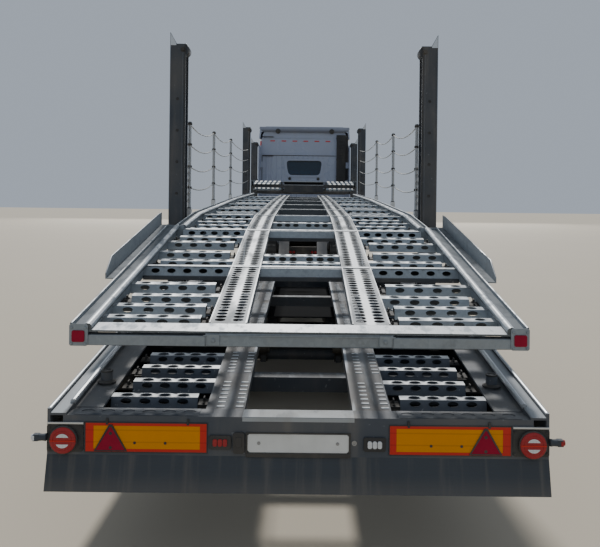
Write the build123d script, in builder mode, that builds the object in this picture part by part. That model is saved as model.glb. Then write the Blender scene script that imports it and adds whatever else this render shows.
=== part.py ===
"""Car transporter lorry: a two-axle tractor with a high-roof sleeper cab and a two-deck car-carrying semi-trailer.

Millimetres. +Y is forward, +X is to the right, +Z is up. The origin is on the ground, in the middle of the lorry's
length and width. A station is a distance ahead of the trailer's rear face.
"""
import math
import os

from build123d import *

os.makedirs("parts", exist_ok=True)

# Overall
OVERALL_LENGTH = 16500
HALF_WIDTH = 1275
REAR = -OVERALL_LENGTH / 2
SEAT_GAP = 0.3

# Lower deck line: station, height of the side beam's top
WELL_HEIGHT = 680
NECK_HEIGHT = 1300
LOWER_END = 12850
LOWER_LINE = [
    (0, 895),
    (1300, 1055),
    (3650, 1165),
    (5500, 1165),
    (6350, WELL_HEIGHT),
    (9500, WELL_HEIGHT),
    (10250, NECK_HEIGHT),
    (LOWER_END, NECK_HEIGHT),
]
SIDE_PLATE_INNER = 1030
SIDE_BEAM_INNER = 1180
LOWER_PLATE = 12
LIP_WIDTH = 15
BOLLARD_STATION = 470
BOLLARD_X = 1105
BOLLARD_RADIUS = 32
BOLLARD_HEIGHT = 75
LIP_RISE = 22
BEAM_DEPTH = 150
TRACK_INNER = 285
TRACK_OUTER = 490
TRACK_DEPTH = 50
TRACK_DROP = 30
TRACK_WALL = 8
RAIL_INNER = 330
RAIL_WIDTH = 100
RAIL_DEPTH = 230
CROSS_WIDTH = 80
CROSS_DEPTH = 90
CROSS_DROP = 98
NECK_START = 10250
NECK_UNDERSIDE = 1102
NECK_PLATE = 10
NECK_PLATE_HALF = 560
NECK_PLATE_LENGTH = 1300
NECK_STEP = 200

# Rear end of the trailer
END_FACE = 40
END_BEAM_TOP = 888
END_BEAM_BOTTOM = 690
END_WALL = 8
END_BEAM_THICK = 120
END_INNER = END_FACE + END_BEAM_THICK
FLAP_BOTTOM = 517
FLAP_THICK = 12
BOARD_INNER = 460
BOARD_OUTER = 1084
BOARD_TOP = 857
BOARD_BOTTOM = 702
BOARD_THICK = 4
LAMP_X = 1187
LAMP_Z = 768
LAMP_RADIUS = 70
LAMP_DEPTH = 32
LAMP_BRACKET = 5
BRACKET_TOP = 842
ARM_REACH = 72
ARM_HEIGHT = 40
PLATE_WIDTH = 520
PLATE_HEIGHT = 112
PLATE_BOTTOM = 696
PLATE_LAMP_X = 335
PLATE_LAMP_WIDTH = 87
PLATE_LAMP_HEIGHT = 52

# Upper deck line: station, height of the side beam's top
UPPER_LINE = [(120, 1330), (2450, 1748), (3300, 1838), (6700, 1985), (10220, 2092)]
UPPER_REAR = 120
UPPER_BREAK = 2450
UPPER_END = 10220
UPPER_OUTER = 1195
UPPER_INNER = 1105
MAIN_OUTER = 1112
MAIN_INNER = 1045
UPPER_BEAM_DEPTH = 105
UPPER_WEB = 12
UPPER_RUNG_DROP = 50
CROSS_TUBE = 60
CROSS_TUBE_DROP = 85
REAR_TUBE_DROP = 35
SILL_DEPTH = 40
WING_START = 960
WING_END = 2570
WING_RISE = 100
WING_PLATE = 8

# Brackets at the free end of a rung
BRACKET_DROP = 34
BRACKET_WALL = 8

# Rungs: hat-shaped channels, their ridge up
RUNG_BASE = 96
RUNG_RIDGE = 52
RUNG_HEIGHT = 58
RUNG_WALL = 4
RUNG_STAGGER = 65
BAR_BASE = 110
BAR_RIDGE = 60
BAR_HEIGHT = 62
BAR_LEAN = 14
POST_STATIONS = (3200, 4900, 6750)
POST_HEIGHT = 930
POST_RADIUS = 17
POST_SOCKET_WALL = 7
POST_SOCKET_DEPTH = 64
POST_SOCKET_RISE = 60

# Bays of the upper deck: station of its rear bar, stations of its rungs after that bar, which rungs stand inward
UPPER_BAYS = [
    (120, (275, 460, 640, 870), (0, 0, 1, 0)),
    (1310, (230, 470, 780, 960), (1, 0, 0, 1)),
    (2440, (210, 420, 640, 850), (0, 1, 0, 1)),
    (3500, (210, 420, 640, 850), (1, 0, 1, 0)),
    (4560, (210, 420, 640, 850), (0, 1, 0, 1)),
    (5620, (210, 420, 640, 850), (1, 0, 1, 0)),
    (6680, (210, 420, 640, 850), (0, 1, 0, 1)),
    (7740, (200, 400, 600, 780), (1, 0, 1, 0)),
    (8720, (240, 480, 720, 960), (0, 1, 0, 1)),
]
# Rungs of the lower deck: station of the first, how many, spacing
LOWER_RUNGS = [(330, 4, 205), (1400, 2, 250), (2200, 3, 300), (6700, 9, 330), (10600, 6, 380)]
CENTRE_RUNGS = (1500, 1700, 3050, 4700, 4900, 6900, 8900, 9080)
LOWER_CROSS = (760, 1750, 3030, 4180, 5400, 6500, 7500, 8500, 9450, 10400, 11400, 12780)

# Columns: station of the rear face, depth along the lorry, height of the top
COLUMN_WIDTH = 150
COLUMN_WALL = 14
COLUMNS = [(2880, 150, 3460), (10060, 150, 3460), (12130, 130, 3330)]
COLUMN_FIN = 110
PIVOT_BLOCK = 180
FIN_FOOT = 62
PULLEY_RADIUS = 55
COLUMN_MIDDLES = [station + depth / 2 for station, depth, _ in COLUMNS]
CARRIAGE_HEIGHT = 260
RUN_GAP = 0.3
PIN_DROP = 60
PIN_SETBACK = 12
SLIDE_PIN_RADIUS = 18

# Front deck, a short ladder over the neck
FRONT_LINE = [(10350, 2370), (11000, 2240), (13050, 2240)]
FRONT_REAR = 10350
FRONT_END = 13050
FRONT_RUNGS = (10410, 10950, 11250, 11550, 11850, 12150, 12450, 12750)
FRONT_BARS = (10360, 11080, 11700, 12300, 12960)
FRONT_PIN_RADIUS = 25
TILT_PIN_RADIUS = 30
TILT_PIN_LENGTH = 95

# Running gear: stations and tyres
TRAILER_AXLES = (3400, 4750)
TRAILER_TYRE_RADIUS = 400
TRAILER_TYRE_WIDTH = 240
TRAILER_RIM_RADIUS = 225
TRACTOR_TYRE_RADIUS = 476
TRACTOR_TYRE_WIDTH = 300
TRACTOR_RIM_RADIUS = 290
TWIN_GAP = 45
WHEEL_OUTER = 1250
HUB_RADIUS = 95
HUB_CAP = 45
SPINDLE_RADIUS = 45
TRAILER_TWINS = (WHEEL_OUTER - 2 * TRAILER_TYRE_WIDTH - TWIN_GAP, WHEEL_OUTER - TRAILER_TYRE_WIDTH)
DRIVE_TWINS = (WHEEL_OUTER - 2 * TRACTOR_TYRE_WIDTH - TWIN_GAP, WHEEL_OUTER - TRACTOR_TYRE_WIDTH)
TWIN_CLEAR = 560
BORE_GAP = 0.3
RIM_WALL = 14
DISC_WALL = 14
AXLE_RADIUS = 62
DRIVE_STATION = 11400
STEER_STATION = 15080
KING_STATION = 11950
STEER_PIVOT_X = 900

GUARD_OVERHANG = 560
GUARD_TOP = 870
GUARD_WALL = 6
LEG_STATION = 9900
LEG_TOP = 850
LEG_X = 560
LEG_WIDTH = 110
LEG_SHOE = 240
LEG_FOOT = 330
SIDE_GUARD_START = 6450
SIDE_GUARD_END = 9350
SIDE_GUARD_POSTS = (6600, 7400, 8200, 9000, 9300)
GUARD_RAILS = (370, 520)
GUARD_RAIL_HEIGHT = 90

# Tractor frame
FRAME_TOP = 980
FRAME_DEPTH = 250
FRAME_OUTER = 430
FRAME_WALL = 12
FRAME_FLANGE = 80
FRAME_REAR = 10800
FRAME_FRONT = 16420
KING_RADIUS = 25.4
KING_LENGTH = 80
FIFTH_THICK = 45
FIFTH_RADIUS = 460
FIFTH_FOOT_X = 360
FRAME_CROSS = (10900, 12650, 13600, 16100)
BANJO_RADIUS = 210
KNUCKLE_FORK = 105

# Cab
CAB_BACK = 14200
CAB_BOTTOM = 1090
CAB_WALL = 55
CAB_FLOOR = CAB_BOTTOM + CAB_WALL + SEAT_GAP
CAB_BACK_CORNER = 70
# Cab sections: height, station of the front, half width, radius of the front corners
CAB_SECTIONS = [
    (CAB_BOTTOM, 16440, 1235, 200),
    (1900, 16490, 1250, 230),
    (2900, 16260, 1245, 250),
    (3450, 15900, 1200, 300),
    (3720, 15350, 1130, 330),
    (3820, 14900, 1080, 300),
]
SCREEN_HALF = 975
SCREEN_BOTTOM = 1980
SCREEN_TOP = 2840
GLASS_THICK = 6
DOOR_REAR = 15130
DOOR_FRONT = 16080
DOOR_BOTTOM = CAB_BOTTOM + CAB_WALL + 8
DOOR_GAP = 6
DOOR_TOP = 2860
DOOR_OUTLINE = [
    (DOOR_REAR, DOOR_BOTTOM),
    (DOOR_FRONT, DOOR_BOTTOM),
    (DOOR_FRONT, 1960),
    (15900, DOOR_TOP),
    (DOOR_REAR, DOOR_TOP),
]
WINDOW_OUTLINE = [(15230, 1990), (15985, 1990), (15835, 2745), (15230, 2745)]
REAR_WINDOW = [(-485, 3005), (-433, 2625), (433, 2625), (485, 3005)]
CAB_SIDE_END = 1300
CAB_SIDE_CUT = 220
SCREEN_CUT = 15900
GLASS_SET = 20
DOOR_GLASS_X = 1215
TILT_STATION = 16400
TILT_HEIGHT = 1030
TILT_LUG_HALF = 25
TILT_LUG_X = 440
TILT_LUG_WIDTH = 30
TILT_LUG_PIN = 15
DOOR_HINGE_X = 1262
DOOR_HINGE_STATION = DOOR_FRONT - 3
DOOR_HINGE_HEIGHTS = (1350, 1840)
HINGE_BARREL = 10
HINGE_PIN = 6
HINGE_HALF = 35
HINGE_LEAF = 14
HINGE_FOOT = 45
ROOF_FAIRING = [(14150, 3820), (14150, 3935), (14520, 3928), (14880, 3826), (14880, 3820)]
FAIRING_HALF = 1050
DEFLECTOR_START = 13820
DEFLECTOR_WALL = 30
DEFLECTOR_FOOT = 1110
DEFLECTOR_TOP = 3420
INTAKE = (875, 240, 2460, 3720, 80)
GRILLE_HALF = 820
GRILLE_BOTTOM = 1230
GRILLE_TOP = 1840
GRILLE_SLATS = 5
MIRROR_X = 1300
MIRROR_WIDTH = 190
MIRROR_STATION = 16165
MIRROR_DEPTH = 90
MIRROR_BOTTOM = 1960
MIRROR_TOP = 2560
MIRROR_ARMS = (2030, 2440)

# Cab inside: outlines of the dashboard, seat and bunk as (station, height)
DASHBOARD = [(16360, CAB_FLOOR), (16370, 1890), (16120, 1920), (15900, 1760), (15980, CAB_FLOOR)]
DASHBOARD_HALF = 1090
SEAT = [(15080, CAB_FLOOR), (15660, CAB_FLOOR), (15690, 1580), (15270, 1620), (15200, 2400), (15080, 2400)]
SEAT_X = 560
SEAT_WIDTH = 500
BUNK = [(14262, CAB_FLOOR), (14900, CAB_FLOOR), (14900, 1640), (14262, 1640)]
BUNK_HALF = 1100
STEERING_RADIUS = 225
STEERING_STATION = 15760
STEERING_HEIGHT = 1830
STEERING_COLUMN = 380

# Front bumper, lamps, fenders and what hangs on the frame
BUMPER_TOP = 1010
BUMPER_BOTTOM = 330
BUMPER_FRONT = OVERALL_LENGTH
BUMPER_REAR = 15730
BUMPER_HALF = 1240
BUMPER_WALL = 40
BUMPER_CORNER = 200
HEADLAMP_INNER = 740
HEADLAMP_OUTER = 1035
HEADLAMP_BOTTOM = 690
HEADLAMP_TOP = 880
BUMPER_VENT = (560, 450, 640)
FENDER_GAP_FRONT = 104
FENDER_GAP_REAR = 62
FENDER_WALL = 10
ENGINE = (330, 14500, 15850, 620, 1040)
TANK_INNER = 500
TANK_OUTER = 1190
TANK_BOTTOM = 340
TANK_TOP = 930
TANK_ROUND = 110
TANKS = ((1, 12350, 14050), (-1, 12350, 13500))


def height_on(line, station):
    """Height of a deck line at a station."""
    for (s0, z0), (s1, z1) in zip(line, line[1:]):
        if station <= s1:
            return z0 + (z1 - z0) * (station - s0) / (s1 - s0)
    return line[-1][1]


def angle_on(line, station):
    """Slope of a deck line at a station, in radians."""
    for (s0, z0), (s1, z1) in zip(line, line[1:]):
        if station <= s1:
            return math.atan2(z1 - z0, s1 - s0)
    return 0.0


def strip(x, line, start, end, top, bottom):
    """Face across the plane X = x that follows a deck line, between two heights measured from it."""
    stops = [start] + [s for s, _ in line if start < s < end] + [end]
    upper = [(REAR + s, height_on(line, s) + top) for s in stops]
    lower = [(REAR + s, height_on(line, s) + bottom) for s in reversed(stops)]
    with BuildSketch(Plane.YZ.offset(x)) as face:
        with BuildLine():
            Polyline(*upper, *lower, close=True)
        make_face()
    return face.sketch


def side_face(x, points):
    """Face across the plane X = x from (station, height) points."""
    with BuildSketch(Plane.YZ.offset(x)) as face:
        with BuildLine():
            Polyline(*[(REAR + s, z) for s, z in points], close=True)
        make_face()
    return face.sketch


def slope_plane(x, line, station, drop):
    """Plane across X whose local x runs up the deck line."""
    a = angle_on(line, station)
    origin = (x, REAR + station, height_on(line, station) + drop)
    return Plane(origin=origin, x_dir=(0, math.cos(a), math.sin(a)), z_dir=(1, 0, 0))


def hat_face(plane, base, ridge, height, wall):
    """Open hat channel: sloping sides, flat ridge, its top on the plane's origin."""
    b, r, lean = base / 2, ridge / 2, wall * 1.2
    outer = [(-b, -height), (-r, 0), (r, 0), (b, -height)]
    inner = [(b - lean, -height), (r - lean / 2, -wall), (-r + lean / 2, -wall), (-b + lean, -height)]
    with BuildSketch(plane) as face:
        with BuildLine():
            Polyline(*outer, *inner, close=True)
        make_face()
    return face.sketch


def tyre_profile(inner, width, radius, rim):
    """Half section of a tyre; x is across the wheel and y is the radius."""
    shoulder = 0.13 * width
    tuck = 0.06 * width
    outer = inner + width
    return [
        (inner + tuck, rim - 4),
        (inner, (rim + radius) / 2),
        (inner + shoulder, radius),
        (outer - shoulder, radius),
        (outer, (rim + radius) / 2),
        (outer - tuck, rim - 4),
    ]


def wheel_plane(station, z):
    """Plane whose local x is +X and whose local y is up, through an axle's end."""
    return Plane(origin=(0, REAR + station, z), x_dir=(1, 0, 0), z_dir=(0, -1, 0))


def wheel_face(station, z, points):
    """Face of a wheel's half section, standing over its axle."""
    with BuildSketch(wheel_plane(station, z)) as face:
        with BuildLine():
            Polyline(*points, close=True)
        make_face()
    return face.sketch


def wheel_axis(station, z):
    return Axis((0, REAR + station, z), (1, 0, 0))


def rail_bottom(station):
    """Height of the underside of the trailer's main rails."""
    return height_on(LOWER_LINE, station) - TRACK_DROP - TRACK_DEPTH - RAIL_DEPTH


def wheel_parts(station, z, tyres, width, radius, rim, disc_x):
    """Faces of a wheel: a tyre and its rim at each inner X in tyres, a disc and a hub with a blind bore."""
    bore = SPINDLE_RADIUS + BORE_GAP
    faces = []
    for x in tyres:
        faces.append(wheel_face(station, z, tyre_profile(x, width, radius, rim)))
    ends = (tyres[0] + 12, tyres[-1] + width - 12)
    inner_rim = rim - RIM_WALL
    faces.append(wheel_face(station, z, [(ends[0], inner_rim), (ends[1], inner_rim), (ends[1], rim), (ends[0], rim)]))
    disc = [(disc_x, bore), (disc_x + DISC_WALL, bore), (disc_x + DISC_WALL, rim - 2), (disc_x, rim - 2)]
    faces.append(wheel_face(station, z, disc))
    hub_start = disc_x - 90
    hub_end = WHEEL_OUTER - 12
    bore_end = WHEEL_OUTER - HUB_CAP
    hub = [
        (hub_start, bore),
        (bore_end, bore),
        (bore_end, 0),
        (hub_end, 0),
        (hub_end, HUB_RADIUS * 0.7),
        (hub_start, HUB_RADIUS),
    ]
    faces.append(wheel_face(station, z, hub))
    return faces


TILT_Z = height_on(UPPER_LINE, COLUMN_MIDDLES[1]) - PIN_DROP
FRONT_PIVOT_Z = height_on(FRONT_LINE, COLUMN_MIDDLES[2]) - PIN_DROP


def save(piece, name):
    piece.part.label = name
    export_step(piece.part, "parts/" + name + ".step")


# Trailer: side beams with a raised outer lip and a wide inner plate
with BuildPart() as side_beams:
    web = strip(SIDE_BEAM_INNER, LOWER_LINE, END_FACE, LOWER_END, 0, -BEAM_DEPTH)
    top = strip(SIDE_BEAM_INNER, LOWER_LINE, END_FACE, LOWER_END, 0, -LOWER_PLATE)
    lip = strip(HALF_WIDTH - LIP_WIDTH, LOWER_LINE, END_FACE, LOWER_END, LIP_RISE, -BEAM_DEPTH)
    plate = strip(SIDE_PLATE_INNER, LOWER_LINE, END_INNER, LOWER_END, -LIP_RISE, -LIP_RISE - LOWER_PLATE)
    extrude(web, amount=LIP_WIDTH)
    extrude(top, amount=HALF_WIDTH - SIDE_BEAM_INNER)
    extrude(lip, amount=LIP_WIDTH)
    extrude(plate, amount=SIDE_BEAM_INNER - SIDE_PLATE_INNER)
    bollard_z = height_on(LOWER_LINE, BOLLARD_STATION) - LIP_RISE - LOWER_PLATE / 2
    with Locations((BOLLARD_X, REAR + BOLLARD_STATION, bollard_z)):
        Cylinder(radius=BOLLARD_RADIUS, height=BOLLARD_HEIGHT, align=(Align.CENTER, Align.CENTER, Align.MIN))
    mirror(about=Plane.YZ)
save(side_beams, "side_beams")

# Trailer: perforated inner tracks of the lower deck
with BuildPart() as lower_tracks:
    skin = strip(TRACK_INNER, LOWER_LINE, END_INNER, LOWER_END, -TRACK_DROP, -TRACK_DROP - TRACK_WALL)
    extrude(skin, amount=TRACK_OUTER - TRACK_INNER)
    for edge in (TRACK_INNER, TRACK_OUTER - TRACK_WALL):
        side = strip(edge, LOWER_LINE, END_INNER, LOWER_END, -TRACK_DROP, -TRACK_DROP - TRACK_DEPTH)
        extrude(side, amount=TRACK_WALL)
    mirror(about=Plane.YZ)
save(lower_tracks, "lower_tracks")

# Trailer: main rails, which step up to the neck over the coupling
with BuildPart() as trailer_rails:
    rail_top = -TRACK_DROP - TRACK_DEPTH
    neck_top = NECK_HEIGHT + rail_top
    neck_foot = NECK_UNDERSIDE + NECK_PLATE
    rail = strip(RAIL_INNER, LOWER_LINE, END_INNER, NECK_START, rail_top, rail_top - RAIL_DEPTH)
    neck = [
        (NECK_START - 1, neck_top - RAIL_DEPTH),
        (NECK_START + NECK_STEP, neck_foot),
        (LOWER_END, neck_foot),
        (LOWER_END, neck_top),
        (NECK_START - 1, neck_top),
    ]
    extrude(rail, amount=RAIL_WIDTH)
    extrude(side_face(RAIL_INNER, neck), amount=RAIL_WIDTH)
    mirror(about=Plane.YZ)
save(trailer_rails, "trailer_rails")

# Trailer: coupling plate under the neck with its kingpin
with BuildPart() as coupling_plate:
    with Locations((0, REAR + KING_STATION, NECK_UNDERSIDE)):
        Box(2 * NECK_PLATE_HALF, NECK_PLATE_LENGTH, NECK_PLATE, align=(Align.CENTER, Align.CENTER, Align.MIN))
    with BuildSketch(Plane.XY.offset(NECK_UNDERSIDE - KING_LENGTH)):
        with Locations((0, REAR + KING_STATION)):
            Circle(KING_RADIUS)
    extrude(amount=KING_LENGTH + NECK_PLATE / 2)
save(coupling_plate, "coupling_plate")

# Trailer: crossbars between the rails and out to the side beams
with BuildPart() as lower_crossbars:
    for station in LOWER_CROSS:
        for start, end in ((0, RAIL_INNER - SEAT_GAP), (RAIL_INNER + RAIL_WIDTH + SEAT_GAP, SIDE_BEAM_INNER - SEAT_GAP)):
            bar = strip(start, LOWER_LINE, station, station + CROSS_WIDTH, -CROSS_DROP, -CROSS_DROP - CROSS_DEPTH)
            extrude(bar, amount=end - start)
    mirror(about=Plane.YZ)
save(lower_crossbars, "lower_crossbars")

# Trailer: rungs of the lower deck
with BuildPart() as lower_rungs:
    for first, count, spacing in LOWER_RUNGS:
        for i in range(count):
            plane = slope_plane(TRACK_OUTER + SEAT_GAP, LOWER_LINE, first + i * spacing, -TRACK_DROP)
            extrude(hat_face(plane, RUNG_BASE, RUNG_RIDGE, RUNG_HEIGHT, RUNG_WALL),
                    amount=SIDE_PLATE_INNER - TRACK_OUTER - 2 * SEAT_GAP)
    mirror(about=Plane.YZ)
save(lower_rungs, "lower_rungs")

# Trailer: rear end beam, a channel across the whole width, open to the front
with BuildPart() as rear_end_beam:
    with BuildSketch(Plane.YZ.offset(-SIDE_BEAM_INNER)):
        with BuildLine():
            Polyline(
                (REAR + END_INNER, END_BEAM_TOP),
                (REAR + END_FACE, END_BEAM_TOP),
                (REAR + END_FACE, END_BEAM_BOTTOM),
                (REAR + END_INNER, END_BEAM_BOTTOM),
                (REAR + END_INNER, END_BEAM_BOTTOM + END_WALL),
                (REAR + END_FACE + END_WALL, END_BEAM_BOTTOM + END_WALL),
                (REAR + END_FACE + END_WALL, END_BEAM_TOP - END_WALL),
                (REAR + END_INNER, END_BEAM_TOP - END_WALL),
                close=True,
            )
        make_face()
    extrude(amount=2 * SIDE_BEAM_INNER)
    ear_top = LOWER_LINE[0][1] - BEAM_DEPTH
    for x in (-HALF_WIDTH, SIDE_BEAM_INNER):
        with Locations((x, REAR + END_FACE, END_BEAM_BOTTOM)):
            Box(HALF_WIDTH - SIDE_BEAM_INNER, END_WALL, ear_top - END_BEAM_BOTTOM, align=Align.MIN)
save(rear_end_beam, "rear_end_beam")

# Trailer: rubber flap below the end beam, kicked out at its foot
with BuildPart() as rear_flap:
    flap = [
        (END_FACE, END_BEAM_BOTTOM),
        (END_FACE + FLAP_THICK, END_BEAM_BOTTOM),
        (FLAP_THICK, FLAP_BOTTOM),
        (0, FLAP_BOTTOM),
    ]
    extrude(side_face(-HALF_WIDTH, flap), amount=2 * HALF_WIDTH)
save(rear_flap, "rear_flap")

# Trailer: marker boards, blank number plate and their fixings on the end beam
with BuildPart() as marker_boards:
    for x in (-BOARD_OUTER, BOARD_INNER):
        with Locations((x, REAR + END_FACE, BOARD_BOTTOM)):
            Box(BOARD_OUTER - BOARD_INNER, BOARD_THICK, BOARD_TOP - BOARD_BOTTOM,
                align=(Align.MIN, Align.MAX, Align.MIN))
save(marker_boards, "marker_boards")

with BuildPart() as number_plate:
    with Locations((0, REAR + END_FACE, PLATE_BOTTOM)):
        Box(PLATE_WIDTH, BOARD_THICK, PLATE_HEIGHT, align=(Align.CENTER, Align.MAX, Align.MIN))
save(number_plate, "number_plate")

# Trailer: round corner lamps on bent brackets, two short lamps by the plate, marker lamps on rubber arms
with BuildPart() as rear_lamps:
    with Locations((BOARD_OUTER, REAR + END_FACE, BOARD_BOTTOM)):
        Box(HALF_WIDTH - BOARD_OUTER, LAMP_BRACKET, BRACKET_TOP - BOARD_BOTTOM,
            align=(Align.MIN, Align.MAX, Align.MIN))
    with BuildSketch(Plane.XZ.offset(-REAR - END_FACE)):
        with Locations((LAMP_X, LAMP_Z)):
            Circle(LAMP_RADIUS)
    extrude(amount=LAMP_DEPTH)
    with Locations((HALF_WIDTH, REAR + END_FACE, LAMP_Z)):
        Box(ARM_REACH, ARM_HEIGHT, ARM_HEIGHT, align=(Align.MIN, Align.MAX, Align.CENTER))
    with Locations((PLATE_LAMP_X, REAR + END_FACE, LAMP_Z)):
        Box(PLATE_LAMP_WIDTH, LAMP_DEPTH / 2, PLATE_LAMP_HEIGHT, align=(Align.MIN, Align.MAX, Align.CENTER))
    mirror(about=Plane.YZ)
save(rear_lamps, "rear_lamps")

# Trailer: columns that guide the decks, channels open to the inside, each with a pointed fin at its top
with BuildPart() as deck_columns:
    for station, depth, top_z in COLUMNS:
        front = station + depth
        foot_z = height_on(LOWER_LINE, front) + LIP_RISE + SEAT_GAP
        inner = HALF_WIDTH - COLUMN_WIDTH
        with BuildSketch(Plane.XY.offset(foot_z)):
            with BuildLine():
                Polyline(
                    (inner, REAR + station),
                    (HALF_WIDTH, REAR + station),
                    (HALF_WIDTH, REAR + front),
                    (inner, REAR + front),
                    (inner, REAR + front - COLUMN_WALL),
                    (HALF_WIDTH - COLUMN_WALL, REAR + front - COLUMN_WALL),
                    (HALF_WIDTH - COLUMN_WALL, REAR + station + COLUMN_WALL),
                    (inner, REAR + station + COLUMN_WALL),
                    close=True,
                )
            make_face()
        extrude(amount=top_z - foot_z)
        foot = strip(SIDE_BEAM_INNER + 2, LOWER_LINE, station, front, 2 * LIP_RISE + depth * 0.9, 0)
        extrude(foot, amount=HALF_WIDTH - LIP_WIDTH - SIDE_BEAM_INNER - 4)
        with BuildSketch(Plane.XZ.offset(-REAR - station - COLUMN_WALL)):
            with BuildLine():
                Polyline(
                    (HALF_WIDTH, top_z - 20),
                    (HALF_WIDTH, top_z + COLUMN_FIN),
                    (HALF_WIDTH - FIN_FOOT, top_z),
                    (HALF_WIDTH - FIN_FOOT, top_z - 20),
                    close=True,
                )
            make_face()
        extrude(amount=COLUMN_WALL)
        with Locations((inner + PULLEY_RADIUS / 2, REAR + station + depth / 2, top_z - PULLEY_RADIUS)):
            Cylinder(radius=PULLEY_RADIUS, height=depth - 2 * COLUMN_WALL, rotation=(90, 0, 0))
    with Locations((HALF_WIDTH - COLUMN_WALL, REAR + COLUMN_MIDDLES[2], FRONT_PIVOT_Z)):
        Box(COLUMN_WIDTH - COLUMN_WALL - 2, COLUMNS[2][1] - COLUMN_WALL, PIVOT_BLOCK,
            align=(Align.MAX, Align.CENTER, Align.CENTER))
    with BuildSketch(Plane.YZ.offset(HALF_WIDTH - COLUMN_WIDTH)):
        with Locations((REAR + COLUMN_MIDDLES[2], FRONT_PIVOT_Z)):
            Circle(FRONT_PIN_RADIUS + BORE_GAP)
    extrude(amount=COLUMN_WIDTH - COLUMN_WALL - 2, mode=Mode.SUBTRACT)
    mirror(about=Plane.YZ)
save(deck_columns, "deck_columns")

# Trailer: axle tubes with their hangers under the main rails
with BuildPart() as trailer_axles:
    for station in TRAILER_AXLES:
        with BuildSketch(Plane.YZ.offset(0)):
            with Locations((REAR + station, TRAILER_TYRE_RADIUS)):
                Circle(AXLE_RADIUS)
        extrude(amount=TWIN_CLEAR)
        with BuildSketch(Plane.YZ.offset(0)):
            with Locations((REAR + station, TRAILER_TYRE_RADIUS)):
                Circle(SPINDLE_RADIUS)
        extrude(amount=WHEEL_OUTER - HUB_CAP - SEAT_GAP)
        hanger = [
            (station - 240, rail_bottom(station - 240)),
            (station + 160, rail_bottom(station + 160)),
            (station + 90, TRAILER_TYRE_RADIUS - AXLE_RADIUS),
            (station - 120, TRAILER_TYRE_RADIUS - AXLE_RADIUS),
        ]
        extrude(side_face(RAIL_INNER + 25, hanger), amount=50)
    mirror(about=Plane.YZ)
save(trailer_axles, "trailer_axles")

# Trailer wheels: twin tyres on one hub
for i, station in enumerate(TRAILER_AXLES):
    place = ("rear", "front")[i]
    disc_x = TRAILER_TWINS[1] - 60
    with BuildPart() as trailer_wheel:
        for face in wheel_parts(station, TRAILER_TYRE_RADIUS, TRAILER_TWINS, TRAILER_TYRE_WIDTH, TRAILER_TYRE_RADIUS,
                                TRAILER_RIM_RADIUS, disc_x):
            revolve(face, axis=wheel_axis(station, TRAILER_TYRE_RADIUS))
    save(trailer_wheel, "trailer_wheel_" + place + "_right")
    with BuildPart() as trailer_wheel_left:
        mirror(trailer_wheel.part, about=Plane.YZ)
    save(trailer_wheel_left, "trailer_wheel_" + place + "_left")

# Trailer: mudguard plates over the wheels, carried by the side beams' webs
with BuildPart() as trailer_mudguards:
    guard_start = TRAILER_AXLES[0] - GUARD_OVERHANG
    guard_end = TRAILER_AXLES[1] + GUARD_OVERHANG
    guard = [
        (guard_start, GUARD_TOP - 260),
        (guard_start + 110, GUARD_TOP),
        (guard_end - 110, GUARD_TOP),
        (guard_end, GUARD_TOP - 260),
        (guard_end + GUARD_WALL, GUARD_TOP - 260),
        (guard_end + GUARD_WALL - 105, GUARD_TOP + GUARD_WALL),
        (guard_start + 105 - GUARD_WALL, GUARD_TOP + GUARD_WALL),
        (guard_start - GUARD_WALL, GUARD_TOP - 260),
    ]
    extrude(side_face(TRAILER_TWINS[0] - 10, guard), amount=WHEEL_OUTER - TRAILER_TWINS[0] + 10)
    for station in (guard_start + 200, (guard_start + guard_end) / 2, guard_end - 200):
        stay_top = height_on(LOWER_LINE, station) - CROSS_DROP
        stay = [(station, GUARD_TOP), (station + 40, GUARD_TOP), (station + 40, stay_top), (station, stay_top)]
        extrude(side_face(SIDE_BEAM_INNER + LIP_WIDTH + SEAT_GAP, stay), amount=14)
    mirror(about=Plane.YZ)
save(trailer_mudguards, "trailer_mudguards")

# Trailer: landing legs with shoes
with BuildPart() as landing_legs:
    with Locations((LEG_X, REAR + LEG_STATION, LEG_FOOT)):
        Box(LEG_WIDTH, LEG_WIDTH, LEG_TOP - LEG_FOOT, align=(Align.CENTER, Align.CENTER, Align.MIN))
    with Locations((LEG_X, REAR + LEG_STATION, LEG_FOOT)):
        Box(LEG_SHOE, LEG_SHOE, 18, align=(Align.CENTER, Align.CENTER, Align.MIN))
    with Locations((RAIL_INNER + RAIL_WIDTH + SEAT_GAP, REAR + LEG_STATION, LEG_TOP - 110)):
        Box(LEG_X - RAIL_INNER - RAIL_WIDTH, 70, 100, align=(Align.MIN, Align.CENTER, Align.MIN))
    mirror(about=Plane.YZ)
save(landing_legs, "landing_legs")

# Trailer: side guards, two rails on posts that hang from the side beams
with BuildPart() as side_guards:
    for z in GUARD_RAILS:
        with Locations((HALF_WIDTH - 45, REAR + SIDE_GUARD_START, z)):
            Box(28, SIDE_GUARD_END - SIDE_GUARD_START, GUARD_RAIL_HEIGHT, align=(Align.MIN, Align.MIN, Align.CENTER))
    for station in SIDE_GUARD_POSTS:
        beam_foot = height_on(LOWER_LINE, station) - BEAM_DEPTH
        post_inner = SIDE_BEAM_INNER + LIP_WIDTH + SEAT_GAP
        with Locations((post_inner, REAR + station, GUARD_RAILS[0])):
            Box(HALF_WIDTH - 45 - post_inner, 50, beam_foot - GUARD_RAILS[0] + 30, align=(Align.MIN, Align.CENTER, Align.MIN))
    mirror(about=Plane.YZ)
save(side_guards, "side_guards")

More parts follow.
